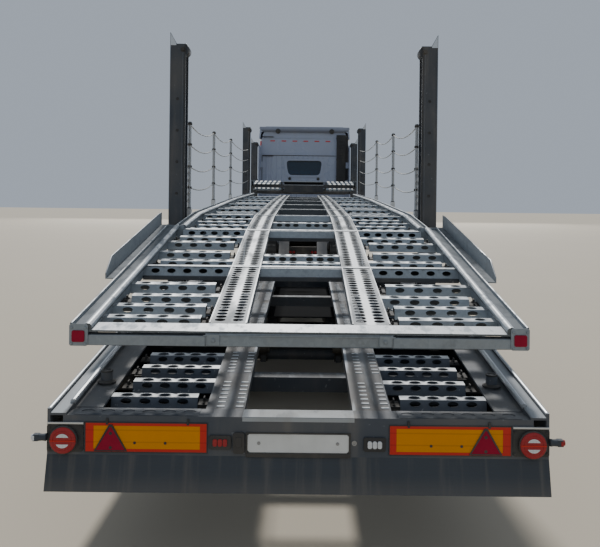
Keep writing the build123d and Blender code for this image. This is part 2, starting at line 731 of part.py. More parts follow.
# Upper deck: side beams; the wide rear section with its wings, then the narrower section between the columns
with BuildPart() as upper_beams:
    deep = -UPPER_BEAM_DEPTH
    width = UPPER_OUTER - UPPER_INNER
    lip = strip(UPPER_OUTER - UPPER_WEB, UPPER_LINE, UPPER_REAR, UPPER_BREAK, 10, deep)
    plate = strip(UPPER_INNER, UPPER_LINE, UPPER_REAR, UPPER_BREAK, -10, -22)
    bulb = strip(UPPER_INNER, UPPER_LINE, UPPER_REAR, UPPER_BREAK, 6, deep)
    end_plate = strip(UPPER_INNER, UPPER_LINE, UPPER_REAR, UPPER_REAR + UPPER_WEB, 0, deep)
    extrude(lip, amount=UPPER_WEB)
    extrude(plate, amount=width)
    extrude(bulb, amount=2 * UPPER_WEB)
    extrude(end_plate, amount=width)
    wing_plate = strip(UPPER_OUTER - UPPER_WEB, UPPER_LINE, WING_START, WING_END, -10, -10 - WING_PLATE)
    extrude(wing_plate, amount=HALF_WIDTH - UPPER_OUTER + UPPER_WEB)
    rise = [
        (WING_START, height_on(UPPER_LINE, WING_START) - 10 - WING_PLATE),
        (WING_START, height_on(UPPER_LINE, WING_START) + 20),
        (WING_START + 120, height_on(UPPER_LINE, WING_START + 120) + WING_RISE),
        (UPPER_BREAK, height_on(UPPER_LINE, UPPER_BREAK) + WING_RISE),
        (WING_END, height_on(UPPER_LINE, WING_END) + WING_RISE),
        (WING_END, height_on(UPPER_LINE, WING_END) - 10 - WING_PLATE),
        (UPPER_BREAK, height_on(UPPER_LINE, UPPER_BREAK) - 10 - WING_PLATE),
    ]
    extrude(side_face(HALF_WIDTH - WING_PLATE, rise), amount=WING_PLATE)
    joint_plate = strip(MAIN_INNER, UPPER_LINE, UPPER_BREAK - UPPER_WEB, UPPER_BREAK, 6, deep)
    extrude(joint_plate, amount=UPPER_OUTER - MAIN_INNER)
    main = MAIN_OUTER - MAIN_INNER
    extrude(strip(MAIN_OUTER - UPPER_WEB, UPPER_LINE, UPPER_BREAK, UPPER_END, 10, deep), amount=UPPER_WEB)
    extrude(strip(MAIN_INNER, UPPER_LINE, UPPER_BREAK, UPPER_END, -10, -22), amount=main)
    extrude(strip(MAIN_INNER, UPPER_LINE, UPPER_BREAK, UPPER_END, 6, deep), amount=2 * UPPER_WEB)
    slide_z = height_on(UPPER_LINE, COLUMN_MIDDLES[0]) - PIN_DROP
    with BuildSketch(Plane.YZ.offset(MAIN_OUTER)):
        with Locations((REAR + COLUMN_MIDDLES[0] - PIN_SETBACK, slide_z)):
            Circle(SLIDE_PIN_RADIUS)
    extrude(amount=HALF_WIDTH - COLUMN_WALL - MAIN_OUTER - 8)
    with BuildSketch(Plane.YZ.offset(MAIN_OUTER - UPPER_WEB / 2)):
        with Locations((REAR + COLUMN_MIDDLES[1], TILT_Z)):
            Circle(TILT_PIN_RADIUS)
    extrude(amount=TILT_PIN_LENGTH)
    mirror(about=Plane.YZ)
save(upper_beams, "upper_beams")

# Upper deck: perforated inner tracks in two lengths
with BuildPart() as upper_tracks:
    for start, end in ((UPPER_REAR + BAR_BASE + BAR_LEAN, UPPER_BREAK - UPPER_WEB), (UPPER_BREAK, UPPER_END)):
        skin = strip(TRACK_INNER, UPPER_LINE, start, end, -TRACK_DROP, -TRACK_DROP - TRACK_WALL)
        extrude(skin, amount=TRACK_OUTER - TRACK_INNER)
        for edge in (TRACK_INNER, TRACK_OUTER - TRACK_WALL):
            extrude(strip(edge, UPPER_LINE, start, end, -TRACK_DROP + 6, -TRACK_DROP - TRACK_DEPTH), amount=TRACK_WALL)
    mirror(about=Plane.YZ)
save(upper_tracks, "upper_tracks")

# Upper deck: rungs, four to a bay; each stands to one side and has a bracket at its free end
with BuildPart() as upper_rungs:
    for bar, steps, inward in UPPER_BAYS:
        edge = UPPER_INNER if bar < UPPER_BREAK - BAR_BASE else MAIN_INNER
        near = TRACK_OUTER + SEAT_GAP
        far = edge - SEAT_GAP
        for step, inner in zip(steps, inward):
            start = near if inner else near + RUNG_STAGGER
            plane = slope_plane(start, UPPER_LINE, bar + step, -UPPER_RUNG_DROP)
            extrude(hat_face(plane, RUNG_BASE, RUNG_RIDGE, RUNG_HEIGHT, RUNG_WALL), amount=far - near - RUNG_STAGGER)
            corner = far - RUNG_STAGGER if inner else near
            bracket = slope_plane(corner, UPPER_LINE, bar + step, -UPPER_RUNG_DROP - BRACKET_DROP)
            with BuildSketch(bracket) as bracket_face:
                Rectangle(RUNG_BASE * 0.8, BRACKET_WALL, align=(Align.CENTER, Align.MAX))
            extrude(bracket_face.sketch, amount=RUNG_STAGGER)
    mirror(about=Plane.YZ)
save(upper_rungs, "upper_rungs")

# Upper deck: crossbars on their tubes, short rungs between the tracks, and the rear beam
with BuildPart() as upper_crossbars:
    side_plane = slope_plane(TRACK_INNER, UPPER_LINE, UPPER_REAR + BAR_BASE / 2, -UPPER_RUNG_DROP / 2)
    side_length = UPPER_INNER - TRACK_INNER - SEAT_GAP
    extrude(hat_face(side_plane, BAR_BASE, BAR_RIDGE, BAR_HEIGHT, RUNG_WALL), amount=side_length)
    tube = strip(0, UPPER_LINE, UPPER_REAR, UPPER_REAR + BAR_BASE * 0.8, -REAR_TUBE_DROP, -UPPER_BEAM_DEPTH)
    extrude(tube, amount=TRACK_OUTER)
    sill = strip(TRACK_OUTER, UPPER_LINE, UPPER_REAR, UPPER_REAR + SILL_DEPTH, -UPPER_RUNG_DROP - 20, -UPPER_BEAM_DEPTH)
    extrude(sill, amount=UPPER_INNER - TRACK_OUTER - SEAT_GAP)
    for bar, _, _ in UPPER_BAYS[1:]:
        edge = (UPPER_INNER if bar < UPPER_BREAK - BAR_BASE else MAIN_INNER) - SEAT_GAP
        between = (0, TRACK_INNER - SEAT_GAP, UPPER_RUNG_DROP + 8)
        beside = (TRACK_OUTER + SEAT_GAP, edge, UPPER_RUNG_DROP)
        for start, end, drop in (between, beside):
            plane = slope_plane(start, UPPER_LINE, bar, -drop)
            extrude(hat_face(plane, BAR_BASE, BAR_RIDGE, BAR_HEIGHT, RUNG_WALL), amount=end - start)
        tube = slope_plane(0, UPPER_LINE, bar, -CROSS_TUBE_DROP)
        with BuildSketch(tube) as tube_face:
            Rectangle(BAR_BASE, CROSS_TUBE, align=(Align.CENTER, Align.MAX))
        extrude(tube_face.sketch, amount=edge)
    for station in CENTRE_RUNGS:
        plane = slope_plane(0, UPPER_LINE, station, -UPPER_RUNG_DROP)
        extrude(hat_face(plane, RUNG_BASE, RUNG_RIDGE, RUNG_HEIGHT, RUNG_WALL), amount=TRACK_INNER - SEAT_GAP)
    mirror(about=Plane.YZ)
save(upper_crossbars, "upper_crossbars")

# Upper deck: posts for the guard ropes in sockets on the outside of the side beams
with BuildPart() as rope_posts:
    for station in POST_STATIONS:
        top = height_on(UPPER_LINE, station)
        with Locations((MAIN_OUTER + SEAT_GAP, REAR + station, top - UPPER_BEAM_DEPTH)):
            Box(2 * (POST_RADIUS + POST_SOCKET_WALL), POST_SOCKET_DEPTH, UPPER_BEAM_DEPTH + POST_SOCKET_RISE,
                align=(Align.MIN, Align.CENTER, Align.MIN))
        with Locations((MAIN_OUTER + SEAT_GAP + POST_RADIUS + POST_SOCKET_WALL, REAR + station, top)):
            Cylinder(radius=POST_RADIUS, height=POST_HEIGHT, align=(Align.CENTER, Align.CENTER, Align.MIN))
    mirror(about=Plane.YZ)
save(rope_posts, "rope_posts")

# Carriages that lift the front of the upper deck inside the front columns
with BuildPart() as deck_carriages:
    column_station, column_depth, _ = COLUMNS[1]
    carriage_x = HALF_WIDTH - COLUMN_WIDTH + 2
    carriage_width = COLUMN_WIDTH - COLUMN_WALL - 2 - RUN_GAP
    carriage_depth = column_depth - 2 * COLUMN_WALL - 2 * RUN_GAP
    with Locations((carriage_x, REAR + COLUMN_MIDDLES[1], TILT_Z)):
        Box(carriage_width, carriage_depth, CARRIAGE_HEIGHT, align=(Align.MIN, Align.CENTER, Align.CENTER))
    with BuildSketch(Plane.YZ.offset(carriage_x)):
        with Locations((REAR + COLUMN_MIDDLES[1], TILT_Z)):
            Circle(TILT_PIN_RADIUS + BORE_GAP)
    extrude(amount=carriage_width * 0.7, mode=Mode.SUBTRACT)
    mirror(about=Plane.YZ)
save(deck_carriages, "deck_carriages")

# Front deck: side beams, hinged on pins in the front pair of columns
with BuildPart() as front_deck_beams:
    beam_width = MAIN_OUTER - MAIN_INNER
    extrude(strip(MAIN_OUTER - UPPER_WEB, FRONT_LINE, FRONT_REAR, FRONT_END, 6, -UPPER_BEAM_DEPTH), amount=UPPER_WEB)
    extrude(strip(MAIN_INNER, FRONT_LINE, FRONT_REAR, FRONT_END, -10, -22), amount=beam_width)
    extrude(strip(MAIN_INNER, FRONT_LINE, FRONT_REAR, FRONT_END, 6, -UPPER_BEAM_DEPTH), amount=2 * UPPER_WEB)
    with BuildSketch(Plane.YZ.offset(MAIN_OUTER - 2)):
        with Locations((REAR + COLUMN_MIDDLES[2], FRONT_PIVOT_Z)):
            Circle(FRONT_PIN_RADIUS)
    extrude(amount=HALF_WIDTH - COLUMN_WALL - MAIN_OUTER - 20)
    mirror(about=Plane.YZ)
save(front_deck_beams, "front_deck_beams")

# Front deck: inner tracks on the cross tubes
with BuildPart() as front_deck_tracks:
    skin = strip(TRACK_INNER, FRONT_LINE, FRONT_REAR, FRONT_END, -TRACK_DROP, -TRACK_DROP - TRACK_WALL)
    extrude(skin, amount=TRACK_OUTER - TRACK_INNER)
    for edge in (TRACK_INNER, TRACK_OUTER - TRACK_WALL):
        side = strip(edge, FRONT_LINE, FRONT_REAR, FRONT_END, -TRACK_DROP, -TRACK_DROP - TRACK_DEPTH)
        extrude(side, amount=TRACK_WALL)
    mirror(about=Plane.YZ)
save(front_deck_tracks, "front_deck_tracks")

# Front deck: cross tubes under the tracks, and rungs beside them
with BuildPart() as front_deck_rungs:
    reach = MAIN_INNER - SEAT_GAP
    for bar in FRONT_BARS:
        plane = slope_plane(0, FRONT_LINE, bar + CROSS_TUBE / 2, -TRACK_DROP - TRACK_DEPTH - SEAT_GAP)
        with BuildSketch(plane) as tube_face:
            Rectangle(CROSS_TUBE, CROSS_TUBE, align=(Align.CENTER, Align.MAX))
        extrude(tube_face.sketch, amount=reach)
    for station in FRONT_RUNGS:
        plane = slope_plane(TRACK_OUTER + SEAT_GAP, FRONT_LINE, station, -TRACK_DROP)
        rung = hat_face(plane, RUNG_BASE, RUNG_RIDGE, TRACK_DEPTH, RUNG_WALL)
        extrude(rung, amount=reach - TRACK_OUTER - SEAT_GAP)
    mirror(about=Plane.YZ)
save(front_deck_rungs, "front_deck_rungs")

# Tractor frame: two channels facing inwards, with crossmembers
with BuildPart() as tractor_frame:
    with BuildSketch(Plane.XZ.offset(-REAR - FRAME_REAR)):
        with BuildLine():
            Polyline(
                (FRAME_OUTER, FRAME_TOP),
                (FRAME_OUTER, FRAME_TOP - FRAME_DEPTH),
                (FRAME_OUTER - FRAME_FLANGE, FRAME_TOP - FRAME_DEPTH),
                (FRAME_OUTER - FRAME_FLANGE, FRAME_TOP - FRAME_DEPTH + FRAME_WALL),
                (FRAME_OUTER - FRAME_WALL, FRAME_TOP - FRAME_DEPTH + FRAME_WALL),
                (FRAME_OUTER - FRAME_WALL, FRAME_TOP - FRAME_WALL),
                (FRAME_OUTER - FRAME_FLANGE, FRAME_TOP - FRAME_WALL),
                (FRAME_OUTER - FRAME_FLANGE, FRAME_TOP),
                close=True,
            )
        make_face()
    extrude(amount=FRAME_REAR - FRAME_FRONT)
    for station in FRAME_CROSS:
        with Locations((0, REAR + station, FRAME_TOP - FRAME_DEPTH / 2)):
            Box(FRAME_OUTER - FRAME_WALL, 70, FRAME_DEPTH * 0.6, align=(Align.MIN, Align.CENTER, Align.CENTER))
    with Locations((FRAME_OUTER, REAR + CAB_BACK + 120, FRAME_TOP)):
        Box(FRAME_FLANGE, 120, CAB_BOTTOM - FRAME_TOP - SEAT_GAP, align=(Align.MAX, Align.CENTER, Align.MIN))
    bracket_top = TILT_HEIGHT + TILT_LUG_HALF
    with Locations((FRAME_OUTER, REAR + FRAME_FRONT, FRAME_TOP)):
        Box(FRAME_FLANGE / 2, 2 * TILT_LUG_HALF, bracket_top - FRAME_TOP, align=(Align.MAX, Align.MAX, Align.MIN))
    with BuildSketch(Plane.YZ.offset(FRAME_OUTER - FRAME_FLANGE / 4)):
        with Locations((REAR + TILT_STATION, TILT_HEIGHT)):
            Circle(TILT_LUG_PIN)
    extrude(amount=FRAME_FLANGE / 4 + TILT_LUG_X - FRAME_OUTER + TILT_LUG_WIDTH + 6)
    mirror(about=Plane.YZ)
save(tractor_frame, "tractor_frame")

# Fifth wheel: a plate with a throat open to the rear, on a pedestal across the frame
with BuildPart() as fifth_wheel:
    plate_z = NECK_UNDERSIDE - SEAT_GAP - FIFTH_THICK
    with BuildSketch(Plane.XY.offset(plate_z)):
        with Locations((0, REAR + KING_STATION)):
            Circle(FIFTH_RADIUS)
            Circle(KING_RADIUS + BORE_GAP, mode=Mode.SUBTRACT)
        with BuildLine():
            Polyline(
                (-26, REAR + KING_STATION - 60),
                (26, REAR + KING_STATION - 60),
                (150, REAR + KING_STATION - FIFTH_RADIUS - 20),
                (-150, REAR + KING_STATION - FIFTH_RADIUS - 20),
                close=True,
            )
        make_face(mode=Mode.SUBTRACT)
    extrude(amount=FIFTH_THICK)
    for x in (-1, 1):
        with Locations((x * FIFTH_FOOT_X, REAR + KING_STATION, FRAME_TOP)):
            Box(120, 320, plate_z - FRAME_TOP, align=(Align.CENTER, Align.CENTER, Align.MIN))
save(fifth_wheel, "fifth_wheel")

# Tractor axles: drive axle with its banjo housing, front beam between the steering knuckles
with BuildPart() as drive_axle:
    with BuildSketch(Plane.YZ):
        with Locations((REAR + DRIVE_STATION, TRACTOR_TYRE_RADIUS)):
            Circle(AXLE_RADIUS + 10)
    extrude(amount=DRIVE_TWINS[0] - 30)
    with BuildSketch(Plane.YZ):
        with Locations((REAR + DRIVE_STATION, TRACTOR_TYRE_RADIUS)):
            Circle(SPINDLE_RADIUS)
    extrude(amount=WHEEL_OUTER - HUB_CAP - SEAT_GAP)
    with BuildSketch(Plane.YZ):
        with Locations((REAR + DRIVE_STATION, TRACTOR_TYRE_RADIUS)):
            Circle(BANJO_RADIUS)
    extrude(amount=110, taper=18)
    seat_top = FRAME_TOP - FRAME_DEPTH
    with Locations((FRAME_OUTER - FRAME_FLANGE / 2, REAR + DRIVE_STATION, TRACTOR_TYRE_RADIUS)):
        Box(FRAME_FLANGE, 110, seat_top - TRACTOR_TYRE_RADIUS - SEAT_GAP, align=(Align.CENTER, Align.CENTER, Align.MIN))
    mirror(about=Plane.YZ)
save(drive_axle, "drive_axle")

with BuildPart() as front_axle:
    with Locations((0, REAR + STEER_STATION, TRACTOR_TYRE_RADIUS - 40)):
        Box(STEER_PIVOT_X - 60, 90, 110, align=(Align.MIN, Align.CENTER, Align.CENTER))
    for z in (-1, 1):
        with Locations((STEER_PIVOT_X - 70, REAR + STEER_STATION, TRACTOR_TYRE_RADIUS + z * KNUCKLE_FORK)):
            Box(110, 90, 30, align=(Align.MIN, Align.CENTER, Align.CENTER))
    with Locations((STEER_PIVOT_X - 70, REAR + STEER_STATION, TRACTOR_TYRE_RADIUS)):
        Box(24, 90, 2 * KNUCKLE_FORK, align=(Align.MIN, Align.CENTER, Align.CENTER))
    with Locations((FRAME_OUTER - FRAME_FLANGE / 2, REAR + STEER_STATION, TRACTOR_TYRE_RADIUS)):
        Box(FRAME_FLANGE, 90, seat_top - TRACTOR_TYRE_RADIUS - SEAT_GAP, align=(Align.CENTER, Align.CENTER, Align.MIN))
    mirror(about=Plane.YZ)
save(front_axle, "front_axle")

# Steering knuckles and front wheels
with BuildPart() as knuckle_right:
    with Locations((STEER_PIVOT_X, REAR + STEER_STATION, TRACTOR_TYRE_RADIUS)):
        Cylinder(radius=34, height=2 * KNUCKLE_FORK - 30 - 2 * SEAT_GAP)
    with BuildSketch(Plane.YZ.offset(STEER_PIVOT_X)):
        with Locations((REAR + STEER_STATION, TRACTOR_TYRE_RADIUS)):
            Circle(SPINDLE_RADIUS)
    extrude(amount=WHEEL_OUTER - HUB_CAP - SEAT_GAP - STEER_PIVOT_X)
save(knuckle_right, "knuckle_right")
with BuildPart() as knuckle_left:
    mirror(knuckle_right.part, about=Plane.YZ)
save(knuckle_left, "knuckle_left")

for name, station, tyres, disc_x in (
    ("front_wheel", STEER_STATION, (WHEEL_OUTER - TRACTOR_TYRE_WIDTH,), WHEEL_OUTER - 80),
    ("drive_wheel", DRIVE_STATION, DRIVE_TWINS, DRIVE_TWINS[1] - 30),
):
    with BuildPart() as tractor_wheel:
        for face in wheel_parts(station, TRACTOR_TYRE_RADIUS, tyres, TRACTOR_TYRE_WIDTH, TRACTOR_TYRE_RADIUS,
                                TRACTOR_RIM_RADIUS, disc_x):
            revolve(face, axis=wheel_axis(station, TRACTOR_TYRE_RADIUS))
    save(tractor_wheel, name + "_right")
    with BuildPart() as tractor_wheel_left:
        mirror(tractor_wheel.part, about=Plane.YZ)
    save(tractor_wheel_left, name + "_left")


def cab_section(height, front, half, corner, inset):
    """Plan of the cab at a height: square to the rear, rounded at the front."""
    middle = REAR + (front + CAB_BACK) / 2
    with BuildSketch(Plane.XY.offset(height)) as plan:
        with Locations((0, middle)):
            Rectangle(2 * (half - inset), front - CAB_BACK - 2 * inset)
        corners = plan.vertices()
        fillet(corners.group_by(Axis.Y)[-1], corner - inset)
        fillet(corners.group_by(Axis.Y)[0], CAB_BACK_CORNER - inset)
    return plan.sketch


# Cab skin: a ruled loft through the plans, hollowed by the thickness of its walls
with BuildPart() as cab_skin:
    outer = [cab_section(height, front, half, corner, 0) for height, front, half, corner in CAB_SECTIONS]
    loft(outer, ruled=True)
    inner = []
    for k, (height, front, half, corner) in enumerate(CAB_SECTIONS):
        level = height + CAB_WALL if k == 0 else height - CAB_WALL if k == len(CAB_SECTIONS) - 1 else height
        inner.append(cab_section(level, front, half, corner, CAB_WALL))
    loft(inner, ruled=True, mode=Mode.SUBTRACT)

# Cab: shell with the door openings, windscreen, rear window and engine tunnel cut
with BuildPart() as cab_shell:
    add(cab_skin.part)
    for x in (-CAB_SIDE_END, CAB_SIDE_END - CAB_SIDE_CUT):
        extrude(side_face(x, DOOR_OUTLINE), amount=CAB_SIDE_CUT, mode=Mode.SUBTRACT)
    with BuildSketch(Plane.XZ.offset(-REAR - SCREEN_CUT)):
        with BuildLine():
            Polyline(
                (-SCREEN_HALF, SCREEN_BOTTOM),
                (SCREEN_HALF, SCREEN_BOTTOM),
                (SCREEN_HALF, SCREEN_TOP),
                (-SCREEN_HALF, SCREEN_TOP),
                close=True,
            )
        make_face()
    extrude(amount=SCREEN_CUT - OVERALL_LENGTH - 100, mode=Mode.SUBTRACT)
    with BuildSketch(Plane.XZ.offset(-REAR - CAB_BACK + 50)):
        with BuildLine():
            Polyline(*REAR_WINDOW, close=True)
        make_face()
    extrude(amount=-CAB_WALL - 100, mode=Mode.SUBTRACT)
    for x in (TILT_LUG_X, -TILT_LUG_X - TILT_LUG_WIDTH):
        lug_foot = TILT_HEIGHT - TILT_LUG_HALF + 3
        lug = [
            (TILT_STATION - TILT_LUG_HALF, lug_foot),
            (TILT_STATION + TILT_LUG_HALF, lug_foot),
            (TILT_STATION + TILT_LUG_HALF, CAB_BOTTOM + 1),
            (TILT_STATION - TILT_LUG_HALF, CAB_BOTTOM + 1),
        ]
        extrude(side_face(x, lug), amount=TILT_LUG_WIDTH)
        with BuildSketch(Plane.YZ.offset(x)):
            with Locations((REAR + TILT_STATION, TILT_HEIGHT)):
                Circle(TILT_LUG_PIN + BORE_GAP)
        extrude(amount=TILT_LUG_WIDTH, mode=Mode.SUBTRACT)
    hinge_outer = DOOR_HINGE_X + HINGE_BARREL
    for z in DOOR_HINGE_HEIGHTS:
        for end in (-1, 1):
            level = z + end * (HINGE_HALF + HINGE_LEAF / 2)
            with Locations((DOOR_HINGE_X, REAR + DOOR_HINGE_STATION, level)):
                Cylinder(radius=HINGE_BARREL, height=HINGE_LEAF)
                Box(2 * HINGE_BARREL, 2 * HINGE_BARREL, HINGE_LEAF, align=(Align.CENTER, Align.MIN, Align.CENTER))
            with Locations((hinge_outer, REAR + DOOR_FRONT + DOOR_GAP, level)):
                Box(HINGE_FOOT, 4 * HINGE_BARREL, HINGE_LEAF, align=(Align.MAX, Align.MIN, Align.CENTER))
        with Locations((DOOR_HINGE_X, REAR + DOOR_HINGE_STATION, z)):
            Cylinder(radius=HINGE_PIN, height=2 * HINGE_HALF + HINGE_LEAF)
    mirror(about=Plane.YZ)
save(cab_shell, "cab_shell")

# Cab: windscreen and rear window panes
with BuildPart() as cab_glass:
    lean = (CAB_SECTIONS[2][1] - CAB_SECTIONS[1][1]) / (CAB_SECTIONS[2][0] - CAB_SECTIONS[1][0])
    low = CAB_SECTIONS[1][1] + lean * (SCREEN_BOTTOM - CAB_SECTIONS[1][0]) - GLASS_SET
    high = CAB_SECTIONS[1][1] + lean * (SCREEN_TOP - CAB_SECTIONS[1][0]) - GLASS_SET
    pane = [
        (low, SCREEN_BOTTOM + SEAT_GAP),
        (low - GLASS_THICK, SCREEN_BOTTOM + SEAT_GAP),
        (high - GLASS_THICK, SCREEN_TOP - SEAT_GAP),
        (high, SCREEN_TOP - SEAT_GAP),
    ]
    extrude(side_face(-SCREEN_HALF + SEAT_GAP, pane), amount=2 * (SCREEN_HALF - SEAT_GAP))
    with BuildSketch(Plane.XZ.offset(-REAR - CAB_BACK - GLASS_SET)) as rear_pane:
        with BuildLine():
            Polyline(*REAR_WINDOW, close=True)
        make_face()
        offset(amount=-SEAT_GAP, mode=Mode.REPLACE)
    extrude(amount=-GLASS_THICK)
save(cab_glass, "cab_glass")

# Doors: cut from the same skin with a gap all round, their windows glazed
door_face = side_face(CAB_SIDE_END - CAB_SIDE_CUT, DOOR_OUTLINE)
door_panel = offset(door_face, amount=-DOOR_GAP)
with BuildPart() as door_right:
    add(cab_skin.part)
    extrude(door_panel, amount=CAB_SIDE_CUT, mode=Mode.INTERSECT)
    extrude(side_face(CAB_SIDE_END - CAB_SIDE_CUT, WINDOW_OUTLINE), amount=CAB_SIDE_CUT, mode=Mode.SUBTRACT)
    for z in DOOR_HINGE_HEIGHTS:
        with Locations((DOOR_HINGE_X, REAR + DOOR_FRONT - DOOR_GAP, z)):
            Box(HINGE_FOOT - HINGE_BARREL, 4 * HINGE_BARREL, HINGE_HALF, align=(Align.MAX, Align.MAX, Align.CENTER))
        with Locations((DOOR_HINGE_X, REAR + DOOR_HINGE_STATION, z)):
            Cylinder(radius=HINGE_BARREL, height=2 * HINGE_HALF - 2 * RUN_GAP)
            Cylinder(radius=HINGE_PIN + RUN_GAP, height=2 * HINGE_HALF, mode=Mode.SUBTRACT)
save(door_right, "door_right")
with BuildPart() as door_left:
    mirror(door_right.part, about=Plane.YZ)
save(door_left, "door_left")

with BuildPart() as door_glass_right:
    window = offset(side_face(DOOR_GLASS_X, WINDOW_OUTLINE), amount=-SEAT_GAP)
    extrude(window, amount=GLASS_THICK)
save(door_glass_right, "door_glass_right")
with BuildPart() as door_glass_left:
    mirror(door_glass_right.part, about=Plane.YZ)
save(door_glass_left, "door_glass_left")


def front_at(height):
    """Station of the cab's flat front at a height."""
    for (z0, s0, _, _), (z1, s1, _, _) in zip(CAB_SECTIONS, CAB_SECTIONS[1:]):
        if height <= z1:
            return s0 + (s1 - s0) * (height - z0) / (z1 - z0)
    return CAB_SECTIONS[-1][1]


# Cab: grille of sloping slats in a frame on the cab's front
with BuildPart() as grille:
    back = [
        (front_at(GRILLE_BOTTOM) + SEAT_GAP, GRILLE_BOTTOM),
        (front_at(GRILLE_BOTTOM) + 4, GRILLE_BOTTOM),
        (front_at(GRILLE_TOP) + 4, GRILLE_TOP),
        (front_at(GRILLE_TOP) + SEAT_GAP, GRILLE_TOP),
    ]
    extrude(side_face(-GRILLE_HALF, back), amount=2 * GRILLE_HALF)
    pitch = (GRILLE_TOP - GRILLE_BOTTOM) / GRILLE_SLATS
    for i in range(GRILLE_SLATS):
        z = GRILLE_BOTTOM + pitch * i
        slat = [
            (front_at(z) + 2, z),
            (front_at(z) + 9, z),
            (front_at(z) + 12, z + pitch * 0.35),
            (front_at(z + pitch * 0.62) + 2, z + pitch * 0.62),
        ]
        extrude(side_face(-GRILLE_HALF, slat), amount=2 * GRILLE_HALF)
save(grille, "grille")

# Cab: roof fairing and side deflectors, then the air intake and mirrors
with BuildPart() as cab_fairings:
    deflector_outer = CAB_SECTIONS[0][2]
    panel = [
        (DEFLECTOR_START, DEFLECTOR_FOOT),
        (CAB_BACK - SEAT_GAP, DEFLECTOR_FOOT),
        (CAB_BACK - SEAT_GAP, DEFLECTOR_TOP),
        (DEFLECTOR_START + 120, DEFLECTOR_TOP),
    ]
    extrude(side_face(deflector_outer - DEFLECTOR_WALL, panel), amount=DEFLECTOR_WALL)
    for z in (1500, 2900):
        with Locations((deflector_outer - DEFLECTOR_WALL, REAR + CAB_BACK - SEAT_GAP, z)):
            Box(80, 60, 160, align=(Align.MAX, Align.MAX, Align.CENTER))
    mirror(about=Plane.YZ)
    extrude(side_face(-FAIRING_HALF, ROOF_FAIRING), amount=2 * FAIRING_HALF)
save(cab_fairings, "cab_fairings")

with BuildPart() as air_intake:
    x, width, foot, top, depth = INTAKE
    with Locations((x, REAR + CAB_BACK - SEAT_GAP, foot)):
        Box(width, depth, top - foot, align=(Align.MIN, Align.MAX, Align.MIN))
    for k in range(6):
        with Locations((x + 20, REAR + CAB_BACK - depth, top - 200 - 90 * k)):
            Box(width - 40, 30, 50, align=(Align.MIN, Align.CENTER, Align.CENTER), mode=Mode.SUBTRACT)
save(air_intake, "air_intake")

with BuildPart() as mirrors:
    with BuildSketch(Plane.XY.offset(MIRROR_BOTTOM)):
        with Locations((MIRROR_X, REAR + MIRROR_STATION)):
            Rectangle(MIRROR_WIDTH, MIRROR_DEPTH, align=(Align.MIN, Align.CENTER))
        fillet(vertices().group_by(Axis.Y)[-1], MIRROR_DEPTH * 0.6)
    extrude(amount=MIRROR_TOP - MIRROR_BOTTOM)
    for z in MIRROR_ARMS:
        with Locations((MIRROR_X + 20, REAR + DOOR_FRONT + 12, z)):
            Box(MIRROR_X + 20 - 1249.7, 50, 36, align=(Align.MAX, Align.MIN, Align.CENTER))
    mirror(about=Plane.YZ)
save(mirrors, "mirrors")

# Cab inside: dashboard with the steering wheel, seats and bunk
with BuildPart() as dashboard:
    extrude(side_face(-DASHBOARD_HALF, DASHBOARD), amount=2 * DASHBOARD_HALF)
    centre = (-SEAT_X, REAR + STEERING_STATION, STEERING_HEIGHT)
    wheel = Plane(origin=centre, x_dir=(1, 0, 0), z_dir=(0, -0.5, 0.87))
    with BuildSketch(Plane(origin=wheel.origin, x_dir=(1, 0, 0), z_dir=(0, -0.87, -0.5))):
        with Locations((STEERING_RADIUS - 16, 0)):
            Circle(16)
    revolve(axis=Axis(wheel.origin, wheel.z_dir))
    with BuildSketch(wheel.offset(-10)):
        Circle(60)
        Rectangle(2 * STEERING_RADIUS - 40, 30)
    extrude(amount=20)
    with BuildSketch(wheel.offset(-8)):
        Circle(28)
    extrude(amount=-STEERING_COLUMN)
save(dashboard, "dashboard")

with BuildPart() as seats:
    for x in (-SEAT_X, SEAT_X):
        extrude(side_face(x - SEAT_WIDTH / 2, SEAT), amount=SEAT_WIDTH)
    extrude(side_face(-BUNK_HALF, BUNK), amount=2 * BUNK_HALF)
save(seats, "seats")


def bumper_plan(height, inset, rear):
    """Plan of the bumper: straight sides, rounded at the front."""
    with BuildSketch(Plane.XY.offset(height)) as plan:
        with Locations((0, REAR + BUMPER_FRONT - inset)):
            Rectangle(2 * (BUMPER_HALF - inset), BUMPER_FRONT - inset - rear, align=(Align.CENTER, Align.MAX))
        fillet(plan.vertices().group_by(Axis.Y)[-1], BUMPER_CORNER - inset)
    return plan.sketch


# Bumper: a wrap-round shell with headlamp pockets and a lower vent
with BuildPart() as front_bumper:
    extrude(bumper_plan(BUMPER_BOTTOM, 0, BUMPER_REAR), amount=BUMPER_TOP - BUMPER_BOTTOM)
    hollow = bumper_plan(BUMPER_BOTTOM, BUMPER_WALL, BUMPER_REAR - 100)
    extrude(hollow, amount=BUMPER_TOP - BUMPER_BOTTOM, mode=Mode.SUBTRACT)
    for x in (-HEADLAMP_OUTER, HEADLAMP_INNER):
        with Locations((x, REAR + BUMPER_FRONT, HEADLAMP_BOTTOM)):
            Box(HEADLAMP_OUTER - HEADLAMP_INNER, 2 * BUMPER_WALL + 40, HEADLAMP_TOP - HEADLAMP_BOTTOM,
                align=(Align.MIN, Align.CENTER, Align.MIN), mode=Mode.SUBTRACT)
    vent_half, vent_bottom, vent_top = BUMPER_VENT
    with Locations((0, REAR + BUMPER_FRONT, vent_bottom)):
        Box(2 * vent_half, 2 * BUMPER_WALL + 40, vent_top - vent_bottom, align=(Align.CENTER, Align.CENTER, Align.MIN),
            mode=Mode.SUBTRACT)
    for x in (-FRAME_OUTER, FRAME_OUTER - 60):
        with Locations((x, REAR + FRAME_FRONT + SEAT_GAP, FRAME_TOP - FRAME_DEPTH)):
            Box(60, BUMPER_FRONT - BUMPER_WALL - FRAME_FRONT, 60, align=Align.MIN)
save(front_bumper, "front_bumper")

